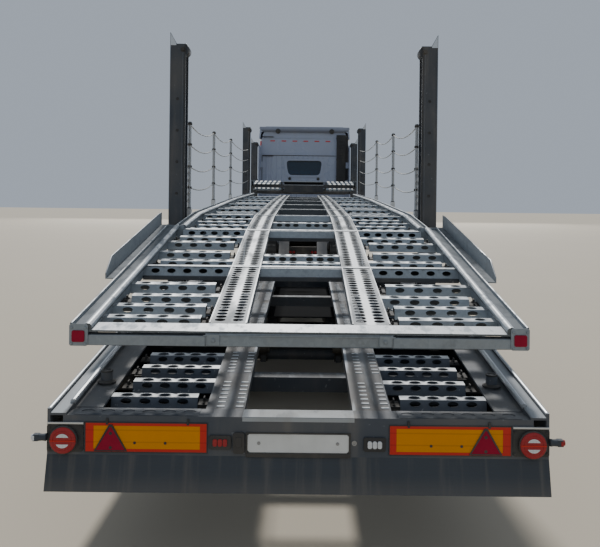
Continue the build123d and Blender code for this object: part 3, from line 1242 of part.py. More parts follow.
with BuildPart() as headlamps:
    for x in (-HEADLAMP_OUTER + SEAT_GAP, HEADLAMP_INNER + SEAT_GAP):
        with Locations((x, REAR + BUMPER_FRONT - 4, HEADLAMP_BOTTOM + SEAT_GAP)):
            Box(HEADLAMP_OUTER - HEADLAMP_INNER - 2 * SEAT_GAP, 70, HEADLAMP_TOP - HEADLAMP_BOTTOM - 2 * SEAT_GAP,
                align=(Align.MIN, Align.MAX, Align.MIN))
save(headlamps, "headlamps")


def arch_face(x, station, radius, wall, spread):
    """Ring sector over an axle, spread degrees each side of the top."""
    top = TRACTOR_TYRE_RADIUS
    with BuildSketch(Plane.YZ.offset(x)) as face:
        with BuildLine():
            outer_arc = CenterArc((REAR + station, top), radius + wall, 90 - spread, 2 * spread)
            inner_arc = CenterArc((REAR + station, top), radius, 90 - spread, 2 * spread)
            Line(outer_arc @ 0, inner_arc @ 0)
            Line(outer_arc @ 1, inner_arc @ 1)
        make_face()
    return face.sketch


# Tractor: fenders over the front and drive wheels with stays to the frame
with BuildPart() as fenders:
    front_radius = TRACTOR_TYRE_RADIUS + FENDER_GAP_FRONT
    rear_radius = TRACTOR_TYRE_RADIUS + FENDER_GAP_REAR
    extrude(arch_face(900, STEER_STATION, front_radius, FENDER_WALL, 45), amount=335)
    rear_inner = DRIVE_TWINS[0] - 10
    extrude(arch_face(rear_inner, DRIVE_STATION, rear_radius, FENDER_WALL, 75), amount=WHEEL_OUTER - rear_inner)
    stays = ((STEER_STATION, front_radius, 910), (DRIVE_STATION, rear_radius, DRIVE_TWINS[0]))
    for station, radius, reach in stays:
        crown = TRACTOR_TYRE_RADIUS + radius
        with Locations((FRAME_OUTER - 40, REAR + station, crown)):
            Box(reach - FRAME_OUTER + 40, 60, FENDER_WALL * 0.9, align=(Align.MIN, Align.CENTER, Align.MIN))
        with Locations((FRAME_OUTER - 40, REAR + station, FRAME_TOP + SEAT_GAP)):
            Box(40, 60, crown - FRAME_TOP, align=(Align.MIN, Align.CENTER, Align.MIN))
    mirror(about=Plane.YZ)
save(fenders, "fenders")

# Tractor: engine as a plain block between the frame rails, tanks and boxes at the sides
with BuildPart() as engine_block:
    half, start, end, foot, top = ENGINE
    with Locations((0, REAR + start, foot)):
        Box(2 * half, end - start, top - foot, align=(Align.CENTER, Align.MIN, Align.MIN))
    for station in (start + 250, end - 300):
        with Locations((0, REAR + station, (foot + top) / 2)):
            Box(2 * (FRAME_OUTER - FRAME_WALL - SEAT_GAP), 90, 60)
save(engine_block, "engine_block")

with BuildPart() as fuel_tanks:
    for side, start, end in TANKS:
        with BuildSketch(Plane.XZ.offset(-REAR - start)):
            with Locations((side * (TANK_INNER + TANK_OUTER) / 2, (TANK_BOTTOM + TANK_TOP) / 2)):
                RectangleRounded(TANK_OUTER - TANK_INNER, TANK_TOP - TANK_BOTTOM, TANK_ROUND)
        extrude(amount=start - end)
        for station in (start + 250, end - 250):
            strap_x = side * (FRAME_OUTER + TANK_INNER + 20) / 2
            with Locations((strap_x, REAR + station, (TANK_BOTTOM + TANK_TOP) / 2 + 150)):
                Box(TANK_INNER + 20 - FRAME_OUTER - 2 * SEAT_GAP, 60, 140)
save(fuel_tanks, "fuel_tanks")
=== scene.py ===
"""Looks of the car transporter lorry, over its CAD frame.

Laid out as an add-on: the sizes and colours that a user would change stand in
settings groups, each group of pieces has its operator, and a panel in the 3D
view's sidebar lists them. Lengths are in metres. A station is the distance
ahead of the trailer's rear face.
"""

from itertools import pairwise
from math import cos, hypot, pi, radians, sin

import bmesh
import bpy
from bpy.props import FloatProperty, FloatVectorProperty, IntProperty, PointerProperty
from bpy.types import Operator, Panel, PropertyGroup
from mathutils import Matrix, Vector


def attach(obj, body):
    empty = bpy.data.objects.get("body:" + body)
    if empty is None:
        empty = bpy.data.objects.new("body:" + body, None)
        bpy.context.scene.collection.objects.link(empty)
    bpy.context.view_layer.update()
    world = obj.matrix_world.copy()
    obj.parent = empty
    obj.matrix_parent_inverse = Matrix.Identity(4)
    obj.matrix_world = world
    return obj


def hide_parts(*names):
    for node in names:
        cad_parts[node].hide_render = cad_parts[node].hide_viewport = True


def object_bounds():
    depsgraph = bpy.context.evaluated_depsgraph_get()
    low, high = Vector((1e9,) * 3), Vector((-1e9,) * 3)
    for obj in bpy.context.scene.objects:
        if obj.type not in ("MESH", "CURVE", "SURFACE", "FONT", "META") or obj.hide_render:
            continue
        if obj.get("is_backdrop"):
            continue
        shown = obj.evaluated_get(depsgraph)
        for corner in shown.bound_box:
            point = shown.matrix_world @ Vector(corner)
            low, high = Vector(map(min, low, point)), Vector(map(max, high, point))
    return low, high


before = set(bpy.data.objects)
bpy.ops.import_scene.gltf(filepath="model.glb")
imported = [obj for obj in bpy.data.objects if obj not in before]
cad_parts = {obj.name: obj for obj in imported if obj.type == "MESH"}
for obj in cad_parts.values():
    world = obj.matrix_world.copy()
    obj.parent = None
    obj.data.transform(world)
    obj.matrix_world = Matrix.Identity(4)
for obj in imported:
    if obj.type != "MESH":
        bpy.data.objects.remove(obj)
CAD_LOW, CAD_HIGH = (corner.copy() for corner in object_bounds())

bl_info = {
    "name": "Car Transporter Looks",
    "version": (1, 0, 0),
    "blender": (4, 5, 0),
    "location": "3D View > Sidebar > Transporter",
    "description": "Finishes, detailed pieces and a studio for a car transporter lorry",
    "category": "Object",
}

RIGHT = Vector((1.0, 0.0, 0.0))
AHEAD = Vector((0.0, 1.0, 0.0))
BACK = Vector((0.0, -1.0, 0.0))
UP = Vector((0.0, 0.0, 1.0))
EVEN = (1.0, 1.0, 1.0)
REAR = CAD_LOW.y
HALF_WIDTH = 1.275

# Deck lines: station and height of the side beam's top
UPPER_STOPS = [(0.12, 1.33), (2.45, 1.748), (3.3, 1.838), (6.7, 1.985), (10.22, 2.092)]
LOWER_STOPS = [
    (0.0, 0.895), (1.3, 1.055), (3.65, 1.165), (5.5, 1.165),
    (6.35, 0.68), (9.5, 0.68), (10.25, 1.3), (12.85, 1.3),
]
FRONT_STOPS = [(10.35, 2.37), (11.0, 2.24), (13.05, 2.24)]

# Tracks and rungs, as in the frame
TRACK_INNER = 0.285
TRACK_OUTER = 0.49
TRACK_DROP = 0.03
TRACK_DEPTH = 0.05
TRACK_WALL = 0.008
SEAT_GAP = 0.0003
RUNG = (0.096, 0.052, 0.058, 0.004)
BAR = (0.11, 0.06, 0.062, 0.004)
STAGGER = 0.065
RUNG_DROP = 0.05
BRACKET_DROP = 0.034
UPPER_REAR = 0.12
UPPER_BREAK = 2.45
UPPER_END = 10.22
UPPER_INNER = 1.105
UPPER_OUTER = 1.195
MAIN_INNER = 1.045
MAIN_OUTER = 1.112
BEAM_DEEP = 0.105
COLLAR = 0.0018
WELD = 0.00002

# Bays of the upper deck: station of the bar, rungs after it, which of them stand inward
UPPER_BAYS = [
    (0.12, (0.275, 0.46, 0.64, 0.87), (0, 0, 1, 0)),
    (1.31, (0.23, 0.47, 0.78, 0.96), (1, 0, 0, 1)),
    (2.44, (0.21, 0.42, 0.64, 0.85), (0, 1, 0, 1)),
    (3.5, (0.21, 0.42, 0.64, 0.85), (1, 0, 1, 0)),
    (4.56, (0.21, 0.42, 0.64, 0.85), (0, 1, 0, 1)),
    (5.62, (0.21, 0.42, 0.64, 0.85), (1, 0, 1, 0)),
    (6.68, (0.21, 0.42, 0.64, 0.85), (0, 1, 0, 1)),
    (7.74, (0.2, 0.4, 0.6, 0.78), (1, 0, 1, 0)),
    (8.72, (0.24, 0.48, 0.72, 0.96), (0, 1, 0, 1)),
]
CENTRE_RUNGS = (1.5, 1.7, 3.05, 4.7, 4.9, 6.9, 8.9, 9.08)
LOWER_RUNGS = [(0.33, 4, 0.205), (1.4, 2, 0.25), (2.2, 3, 0.3), (6.7, 9, 0.33), (10.6, 6, 0.38)]
FRONT_RUNGS = (10.41, 10.95, 11.25, 11.55, 11.85, 12.15, 12.45, 12.75)
FRONT_BARS = (10.36, 11.08, 11.7, 12.3, 12.96)

# Columns: station of the rear face, depth, height of the top
COLUMNS = [(2.88, 0.15, 3.46), (10.06, 0.15, 3.46), (12.13, 0.13, 3.33)]
COLUMN_WIDTH = 0.15
POSTS = (3.2, 4.9, 6.75)
POST_HEIGHT = 0.93
POST_X = MAIN_OUTER + 0.0243

# Rear end of the trailer
END_FACE = 0.04
PANEL_Y = REAR + END_FACE
LAMP_X = 1.187
LAMP_Z = 0.768


def linear(red, green, blue):
    """Colour on a screen's scale of 0 to 255, as the linear values that shaders take."""
    return tuple(v / 3294.6 if v < 11 else ((v / 255 + 0.055) / 1.055) ** 2.4 for v in (red, green, blue))


def colour(name, text, *screen):
    """Colour setting with its default on a screen's scale."""
    return FloatVectorProperty(
        name=name, description=text, subtype="COLOR", size=3, min=0.0, max=1.0, default=linear(*screen)
    )


def number(name, text, default, **options):
    """Setting of one number."""
    return FloatProperty(name=name, description=text, default=default, **options)


def length(name, text, default):
    """Length setting in metres."""
    return number(name, text, default, unit="LENGTH", min=0.0)


class FinishSettings(PropertyGroup):
    """Colours of the lorry's finishes."""

    zinc: colour("Zinc", "Galvanised steel of the upper deck", 126, 134, 140)
    zinc_worn: colour("Worn zinc", "Ridges that tyres have rubbed bright", 226, 228, 228)
    chassis: colour("Chassis paint", "Blue-grey paint of the trailer and its columns", 52, 59, 68)
    chassis_worn: colour("Worn paint", "Where tyres and straps have worn the paint", 170, 176, 180)
    # The cab is white: this darker blue-grey holds painted shade, the bluish shade of its rear wall.
    cab: colour("Cab paint", "White paint of the cab", 152, 163, 186)
    tractor: colour("Tractor paint", "Paint of the tractor's frame", 44, 48, 54)
    flap: colour("Flap", "Rubber of the rear flap", 62, 68, 75)
    tyre: colour("Tyre", "Rubber of the tyres", 30, 30, 31)
    plastic: colour("Plastic", "Unpainted plastic of the cab and its guards", 34, 36, 39)
    orange: colour("Marker orange", "Field of the rear marker boards", 222, 142, 3)
    red: colour("Marker red", "Edge of the rear marker boards", 205, 56, 44)
    triangle: colour("Triangle red", "Triangles on the marker boards", 158, 32, 58)
    dust: colour("Dust", "Road dust on every finish", 138, 130, 118)
    floor: colour("Floor", "Studio floor", 182, 172, 154)


class DeckSettings(PropertyGroup):
    """Sizes of the decks' perforations and wires."""

    track_oval: length("Track oval", "Half width of an oval in the upper tracks", 0.031)
    track_pitch: length("Track pitch", "Spacing of the ovals along the upper tracks", 0.047)
    # The ribs are bright raised bars that stand in for spots of sunlight on the tracks: painted light.
    light_spot_pitch: length("Rib pitch", "Spacing of the worn ribs along the lower tracks", 0.052)
    rung_oval: length("Rung oval", "Half width of an oval in a rung", 0.031)
    rope: length("Rope", "Radius of the guard ropes", 0.006)
    rope_sag: length("Rope sag", "How far a guard rope hangs between its posts", 0.07)


class WheelSettings(PropertyGroup):
    """Detail of the wheels."""

    segments: IntProperty(name="Segments", description="Steps round a tyre", min=48, max=144, default=96)
    groove: length("Groove", "Depth of the tread", 0.011)
    nuts: IntProperty(name="Nuts", description="Nuts on a wheel", min=6, max=12, default=10)


class StudioSettings(PropertyGroup):
    """Camera and light."""

    lens: number("Lens", "Focal length", 38.4, unit="CAMERA", min=10.0)
    eye_x: number("Eye X", "Camera's place across", 0.018, unit="LENGTH")
    eye_y: number("Eye Y", "Camera's place along", -11.46, unit="LENGTH")
    eye_z: length("Eye height", "Camera's height", 2.004)
    roll: number("Roll", "Camera's roll", 0.0112, subtype="ANGLE")
    sun: number("Key light", "Strength of the high light ahead", 3.15, min=0.0)
    softness: number("Softness", "Breadth of the key light", radians(4.5), subtype="ANGLE", min=0.0)
    glow: number("Sheen light", "Power of the low light ahead", 4000.0, unit="POWER", min=0.0)
    sky: number("Sky", "Strength of the light from all round", 0.5, min=0.0)


class Sock:
    """A shader socket with arithmetic: an expression on it adds its Math nodes."""

    def __init__(self, shade, socket):
        self.shade = shade
        self.socket = socket

    def math(self, operation, first, second=0.0):
        return self.shade.add("ShaderNodeMath", {"operation": operation}, {0: first, 1: second})

    def __add__(self, other):
        return self.math("ADD", self, other)

    def __radd__(self, other):
        return self.math("ADD", other, self)

    def __sub__(self, other):
        return self.math("SUBTRACT", self, other)

    def __rsub__(self, other):
        return self.math("SUBTRACT", other, self)

    def __mul__(self, other):
        return self.math("MULTIPLY", self, other)

    def __rmul__(self, other):
        return self.math("MULTIPLY", other, self)

    def __abs__(self):
        return self.math("ABSOLUTE", self)

    def clamped(self):
        return self.math("MAXIMUM", self.math("MINIMUM", self, 1.0), 0.0)


class Shade:
    """One material: add() makes any node, the other methods name the ones in daily use."""

    def __init__(self, name):
        self.material = bpy.data.materials.new(name)
        self.material.use_nodes = True
        self.tree = self.material.node_tree
        self.tree.nodes.clear()

    def add(self, kind, settings=None, inputs=None, out=0):
        """Node of a kind: its settings first, then its sockets' values or links."""
        node = self.tree.nodes.new(kind)
        for key, value in (settings or {}).items():
            setattr(node, key, value)
        for key, value in (inputs or {}).items():
            if isinstance(value, Sock):
                self.tree.links.new(value.socket, node.inputs[key])
            elif isinstance(value, tuple) and node.inputs[key].type == "RGBA":
                node.inputs[key].default_value = (*value[:3], 1.0)
            else:
                node.inputs[key].default_value = value
        return Sock(self, node.outputs[out])

    def spot(self, stretch=EVEN):
        """Place on the piece, in metres, stretched along the axes."""
        place = self.add("ShaderNodeTexCoord", out="Object")
        return self.add("ShaderNodeVectorMath", {"operation": "MULTIPLY"}, {0: place, 1: stretch})

    def noise(self, scale, detail=3.0, stretch=EVEN):
        inputs = {"Vector": self.spot(stretch), "Scale": scale, "Detail": detail, "Roughness": 0.55}
        return self.add("ShaderNodeTexNoise", None, inputs)

    def cells(self, scale, out="Distance", feature="F1"):
        inputs = {"Vector": self.spot(), "Scale": scale}
        return self.add("ShaderNodeTexVoronoi", {"feature": feature}, inputs, out)

    def waves(self, scale, axis):
        settings = {"wave_type": "BANDS", "bands_direction": axis, "wave_profile": "SIN"}
        return self.add("ShaderNodeTexWave", settings, {"Vector": self.spot(), "Scale": scale}, "Fac")

    def axis(self, name, of=None):
        """One coordinate of the place, or of another vector."""
        return self.add("ShaderNodeSeparateXYZ", None, {0: of or self.spot()}, name)

    def up(self):
        """How far the surface faces up, from -1 to 1."""
        return self.axis("Z", self.add("ShaderNodeNewGeometry", out="Normal"))

    def step(self, value, low, high):
        """Smooth step from 0 below low to 1 above high."""
        inputs = {"Value": value, "From Min": low, "From Max": high}
        return self.add("ShaderNodeMapRange", {"interpolation_type": "SMOOTHSTEP"}, inputs)

    def mix(self, factor, first, second):
        """Colour between two colours."""
        return self.add("ShaderNodeMix", {"data_type": "RGBA"}, {0: factor, 6: first, 7: second}, 2)

    def bump(self, height, distance, strength):
        inputs = {"Height": height, "Distance": distance, "Strength": strength}
        return self.add("ShaderNodeBump", None, inputs)

    def finish(self, **inputs):
        """Principled shader with its constants and links; the argument base_color feeds Base Color."""
        shader = self.add("ShaderNodeBsdfPrincipled", None, {
            key.replace("_", " ").title().replace("Ior", "IOR"): value for key, value in inputs.items()
        })
        self.add_output(shader)
        return self.material

    def add_output(self, shader):
        node = self.tree.nodes.new("ShaderNodeOutputMaterial")
        self.tree.links.new(shader.socket, node.inputs["Surface"])

    def dusty(self, base, amount, low=0.0, high=0.0):
        """Road dust on a base colour: a film in clouds, more of it on ledges and below a height."""
        dust = paint("dust")
        cloud = self.step(self.noise(1.7, 5.0), 0.35, 0.75)
        ledge = self.step(self.up(), 0.5, 0.95)
        film = cloud * 0.5 + ledge * 0.35
        if high > low:
            film = film + self.step(self.axis("Z"), high, low) * 0.6
        runs = self.step(self.noise(1.0, 4.0, (9.0, 9.0, 0.9)), 0.5, 0.75)
        return self.mix(((film + runs * 0.3) * amount).clamped(), base, dust), film


def tone(base, factor):
    return tuple(min(1.0, channel * factor) for channel in base)


def paint(name, factor=1.0):
    """Colour of a setting, lighter or darker by a factor."""
    return tone(getattr(bpy.context.scene.transporter_finishes, name), factor)


def galvanised(name, rubbed=0.25, shade=1.0, level_darkening=0.0, ridge=0.94, centre_shade=0.0):
    """Zinc with spangle and tarnish: level ridges rubbed bright, faces that point down darker, and, if
    asked, painted shade on the flanks in the middle towards the front.
    """
    s = Shade(name)
    zinc = tone(paint("zinc"), shade)
    cloud = s.noise(2.4, 5.0)
    spangle = s.cells(60.0, "Color")
    grey = s.axis("X", spangle)
    base = s.mix(cloud, tone(zinc, 0.68), tone(zinc, 1.16))
    base = s.mix(grey * 0.3, base, tone(zinc, 1.4))
    tarnish = s.step(s.noise(7.0, 6.0), 0.55, 0.72)
    base = s.mix(tarnish * 0.45, base, tone(zinc, 0.5))
    base, _ = s.dusty(base, 0.3)
    # Faces that point down are darkened.
    base = s.mix(s.step(s.up(), 0.0, -0.25) * 0.85, base, tone(zinc, 0.12))
    # Painted shade: flanks in the middle of the deck, from about station 3.9 forward, are darkened towards
    # black.
    if centre_shade:
        middle = s.step(abs(s.axis("X")), 0.3, 0.27) * s.step(s.axis("Y"), REAR + 3.9, REAR + 4.4)
        base = s.mix(middle * s.step(s.up(), 0.8, 0.5) * centre_shade, base, tone(zinc, 0.08))
    level = s.step(s.up(), ridge, ridge + 0.05)
    # Level faces are made darker and rougher by the given factor.
    base = s.mix(level * level_darkening, base, tone(zinc, 0.3))
    rub = level * s.step(s.noise(16.0, 4.0, (1.0, 0.5, 1.0)), 0.34, 0.56) * rubbed
    base = s.mix(rub, base, paint("zinc_worn"))
    rough = 0.46 + cloud * 0.16 + tarnish * 0.1 - rub * 0.2 + level * (level_darkening * 0.3)
    grain = s.noise(180.0, 2.0) + grey * 0.4
    return s.finish(
        base_color=base, metallic=0.28 - tarnish * 0.15, roughness=rough.clamped(),
        normal=s.bump(grain, 0.0006, 0.5)
    )


def wheel_path(s, inner, outer):
    """Mask over the two tracks: 1 along the middle and the edges, polished by tyres and hands."""
    across = abs(abs(s.axis("X")) - (TRACK_INNER + TRACK_OUTER) / 2)
    middle = s.step(across, outer, inner)
    edges = s.step(across, 0.088, 0.099)
    return (middle + edges).clamped()


def track_zinc(name):
    """Zinc of the upper tracks: polished along the middle and the edges, dull round the ovals, and darker
    and less polished towards the front as painted shade.
    """
    s = Shade(name)
    zinc = paint("zinc")
    cloud = s.noise(3.0, 5.0)
    spangle = s.axis("X", s.cells(60.0, "Color"))
    base = s.mix(cloud, tone(zinc, 0.42), tone(zinc, 0.85))
    base = s.mix(spangle * 0.25, base, tone(zinc, 1.3))
    base, _ = s.dusty(base, 0.3)
    # Painted shade: from station 2 to 6 the tracks darken and their polish fades.
    ahead = s.step(s.axis("Y"), REAR + 2.0, REAR + 6.0)
    base = s.mix(ahead * 0.5, base, tone(zinc, 0.36))
    patches = s.step(s.noise(7.0, 5.0, (1.0, 0.35, 1.0)), 0.3, 0.62)
    path = wheel_path(s, 0.012, 0.034) * (0.9 - ahead * 0.5) + 0.22 - ahead * 0.22
    rub = (s.step(s.up(), 0.9, 0.98) * path * patches).clamped()
    base = s.mix(rub, base, paint("zinc_worn"))
    return s.finish(
        base_color=base, metallic=0.3, roughness=(0.56 + cloud * 0.14 - rub * 0.26).clamped(),
        normal=s.bump(s.noise(180.0, 2.0), 0.0006, 0.5)
    )


def painted(name, base, worn, rubbed, dust, metallic=0.0, low=0.0, high=0.0, level=0.9, spread_from=0.5,
            where=lambda s: 1.0):
    """Chassis paint with a faint orange peel, scratches, dust, and rub-through on level faces."""
    s = Shade(name)
    cloud = s.noise(3.1, 4.0)
    coat = s.mix(cloud, tone(base, 0.8), tone(base, 1.2))
    chips = s.step(s.noise(38.0, 5.0), 0.66, 0.7)
    scratches = s.step(s.noise(5.0, 4.0, (30.0, 1.0, 30.0)), 0.7, 0.76)
    coat, film = s.dusty(coat, dust, low, high)
    flat = s.step(s.up(), level, 0.99)
    patch = s.step(s.noise(4.5, 6.0, (2.0, 0.6, 1.0)), spread_from, spread_from + 0.12)
    rub = flat * patch * rubbed * where(s)
    wear = (rub + (chips * 0.5 + scratches * 0.4) * 0.5).clamped()
    coat = s.mix(wear, coat, worn)
    rough = 0.42 + film * 0.35 + cloud * 0.08 - wear * 0.1
    relief = s.noise(260.0, 1.0) * 0.3 + cloud - wear * 2.0
    return s.finish(
        base_color=coat, metallic=metallic + wear * 0.2, roughness=rough.clamped(),
        normal=s.bump(relief, 0.0008, 0.4)
    )


def track_paint(name):
    """Paint of the lower tracks: rubbed through in patches along the middle and the edges; the pale inner
    lip is partly wear and partly a painted highlight.
    """
    s = Shade(name)
    base = s.mix(s.noise(3.0, 4.0), tone(paint("chassis"), 0.95), tone(paint("chassis"), 1.5))
    base, film = s.dusty(base, 0.75)
    patches = s.step(s.noise(5.0, 6.0, (1.4, 0.4, 1.0)), 0.4, 0.6)
    # Pale strip along the inner lip: partly worn paint, partly a painted highlight.
    lip = s.step(abs(s.axis("X")), TRACK_INNER + 0.02, TRACK_INNER + 0.014)
    level = s.step(s.up(), 0.8, 0.97)
    rub = (level * (wheel_path(s, 0.014, 0.04) * 0.3 + 0.1 + lip * 0.7) * patches).clamped()
    base = s.mix(rub, base, paint("chassis_worn"))
    return s.finish(
        base_color=base, metallic=rub * 0.2, roughness=(0.55 + film * 0.2 - rub * 0.1).clamped(),
        normal=s.bump(s.noise(120.0, 3.0) - rub, 0.0006, 0.5)
    )


def cab_paint(name):
    """Glossy white enamel, set darker and bluer as painted shade, under a coat, with grime low down and in
    runs.
    """
    s = Shade(name)
    white = paint("cab")
    cloud = s.noise(1.1, 3.0)
    base = s.mix(cloud, tone(white, 0.94), tone(white, 1.03))
    base, film = s.dusty(base, 0.26, 1.0, 1.9)
    peel = s.noise(420.0, 1.0)
    return s.finish(
        base_color=base, roughness=(0.24 + film * 0.3).clamped(), coat_weight=0.6, coat_roughness=0.12,
        normal=s.bump(peel, 0.0002, 0.3)
    )


def fairing_paint(name):
    """Cab enamel of the roof fairing's rear, darkened as painted shade, and darkest towards its foot."""
    s = Shade(name)
    white = paint("cab")
    # Painted shade: the white is darkened, most of all towards the fairing's foot.
    foot_shade = s.step(s.axis("Z"), 3.9, 3.8)
    base = s.mix(s.noise(6.0, 5.0), tone(white, 0.72), tone(white, 0.95))
    base, film = s.dusty(s.mix(foot_shade, base, tone(white, 0.3)), 0.35)
    return s.finish(
        base_color=base, roughness=0.5 + film * 0.2, normal=s.bump(s.noise(300.0, 1.0), 0.0003, 0.3)
    )


def moulded(name, base, dust, rough=0.5, low=0.0, high=0.0, gloss=0.5):
    """Moulded plastic or rubber with a fine leather grain and settled dust."""
    s = Shade(name)
    leather = s.cells(900.0)
    cloud = s.noise(4.0, 4.0)
    body = s.mix(cloud, tone(base, 0.75), tone(base, 1.25))
    body, film = s.dusty(body, dust, low, high)
    return s.finish(
        base_color=body, roughness=(rough + film * 0.25 + cloud * 0.1).clamped(), specular_ior_level=gloss,
        normal=s.bump(leather, 0.0006, 0.5)
    )


def flap_rubber(name):
    """Rubber sheet of the flap: dried splashes run down it."""
    s = Shade(name)
    dark = paint("flap")
    cloud = s.noise(2.5, 5.0)
    runs = s.step(s.noise(1.3, 5.0, (14.0, 1.0, 1.2)), 0.48, 0.72)
    base = s.mix(cloud, tone(dark, 0.7), tone(dark, 1.3))
    base = s.mix(runs * 0.22, base, paint("dust"))
    base = s.mix(s.step(s.axis("Z"), 0.62, 0.51) * 0.2, base, paint("dust"))
    ribs = s.waves(16.0, "Z")
    return s.finish(
        base_color=base, roughness=0.62 + cloud * 0.2, normal=s.bump(ribs + cloud, 0.0012, 0.35)
    )


def tyre_rubber(name):
    """Tyre rubber greyed by road dust, most of it in the tread."""
    s = Shade(name)
    dark = paint("tyre")
    cloud = s.noise(6.0, 5.0)
    base = s.mix(cloud, tone(dark, 0.8), tone(dark, 1.35))
    base, film = s.dusty(base, 0.42, 0.0, 0.7)
    return s.finish(
        base_color=base, roughness=(0.68 + film * 0.2).clamped(),
        normal=s.bump(s.noise(300.0, 2.0), 0.0006, 0.5)
    )


def window_glass(name):
    """Grey-tinted safety glass with a film of dust."""
    s = Shade(name)
    haze = s.step(s.noise(3.0, 4.0), 0.45, 0.8)
    return s.finish(
        base_color=(0.025, 0.065, 0.12), roughness=0.04 + haze * 0.08, transmission_weight=0.6, ior=1.45,
        specular_ior_level=0.6
    )


def lens(name, base, prism=260.0, rough=0.12, coat=0.8):
    """Lamp lens: coloured plastic with a moulded prism pattern under a gloss coat."""
    s = Shade(name)
    pattern = s.waves(prism / 6.2, "X") * 0.5 + s.waves(prism / 6.2, "Z") * 0.5
    cloud = s.noise(30.0, 2.0)
    tint = s.mix(pattern * 0.6 + cloud * 0.4, tone(base, 0.6), tone(base, 1.25))
    return s.finish(
        base_color=tint, roughness=rough, coat_weight=coat, coat_roughness=0.06,
        specular_ior_level=coat * 0.6, normal=s.bump(pattern, 0.0008, 0.6)
    )


def retroreflective(name, base):
    """Reflective sheeting: honeycomb cells, washed edges, thin road film and a few level ribs."""
    s = Shade(name)
    honey = s.cells(260.0, feature="DISTANCE_TO_EDGE")
    edge = s.step(honey, 0.06, 0.02)
    fade = s.noise(5.0, 4.0)
    sheet = s.mix(fade, tone(base, 0.86), tone(base, 1.1))
    sheet = s.mix(edge * 0.18, sheet, tone(base, 1.5))
    ribs = s.step(s.waves(5.2, "Z"), 0.94, 0.99)
    sheet = s.mix(ribs * 0.35, sheet, tone(base, 0.55))
    sheet, film = s.dusty(sheet, 0.05)
    return s.finish(
        base_color=sheet, roughness=0.34 + film * 0.25, specular_ior_level=0.12,
        normal=s.bump(honey, 0.0003, 0.3)
    )


def plate_white(name):
    """Blank plate: enamel with a faint hammered sheen and washed-off grime round its edge."""
    s = Shade(name)
    cloud = s.noise(9.0, 4.0)
    base = s.mix(cloud, linear(214, 216, 214), linear(240, 241, 238))
    base, film = s.dusty(base, 0.3)
    return s.finish(
        base_color=base, roughness=0.3 + film * 0.3, normal=s.bump(s.noise(240.0, 1.0), 0.0004, 0.4)
    )


def bare_steel(name, base, rough, stretch, dust=0.25, metallic=1.0):
    """Bare metal drawn or turned one way, with stains."""
    s = Shade(name)
    brushed = s.noise(60.0, 3.0, stretch)
    stain = s.step(s.noise(9.0, 5.0), 0.5, 0.75)
    metal = s.mix(brushed, tone(base, 0.75), tone(base, 1.15))
    metal = s.mix(stain * 0.4, metal, tone(base, 0.45))
    metal, film = s.dusty(metal, dust)
    return s.finish(
        base_color=metal, metallic=metallic - film * 0.5,
        roughness=(rough + brushed * 0.15 + stain * 0.15).clamped(), normal=s.bump(brushed, 0.0005, 0.4)
    )


def wire_rope(name):
    """Stranded wire: lighter crowns over dark lays."""
    s = Shade(name)
    lay = s.cells(160.0)
    base = s.mix(lay, linear(196, 196, 192), linear(120, 121, 120))
    base, film = s.dusty(base, 0.3)
    return s.finish(
        base_color=base, metallic=0.6, roughness=0.42 + film * 0.3, normal=s.bump(lay, 0.002, 0.8)
    )


def cab_trim(name):
    """Woven seat cloth and soft trim inside the cab."""
    s = Shade(name)
    weave = s.waves(60.0, "X") * 0.5 + s.waves(60.0, "Z") * 0.5
    base = s.mix(weave, linear(48, 50, 55), linear(84, 86, 92))
    base, film = s.dusty(base, 0.1)
    return s.finish(
        base_color=base, roughness=0.8 + film * 0.1, sheen_weight=0.3, normal=s.bump(weave, 0.001, 0.5)
    )


def studio_floor(name):
    """Matt floor with a barely visible cloud, so that it doesn't look cut out."""
    s = Shade(name)
    base = paint("floor")
    cloud = s.noise(0.35, 3.0)
    return s.finish(
        base_color=s.mix(cloud, tone(base, 0.97), tone(base, 1.03)), roughness=0.85,
        normal=s.bump(s.noise(90.0, 2.0), 0.0006, 0.3)
    )


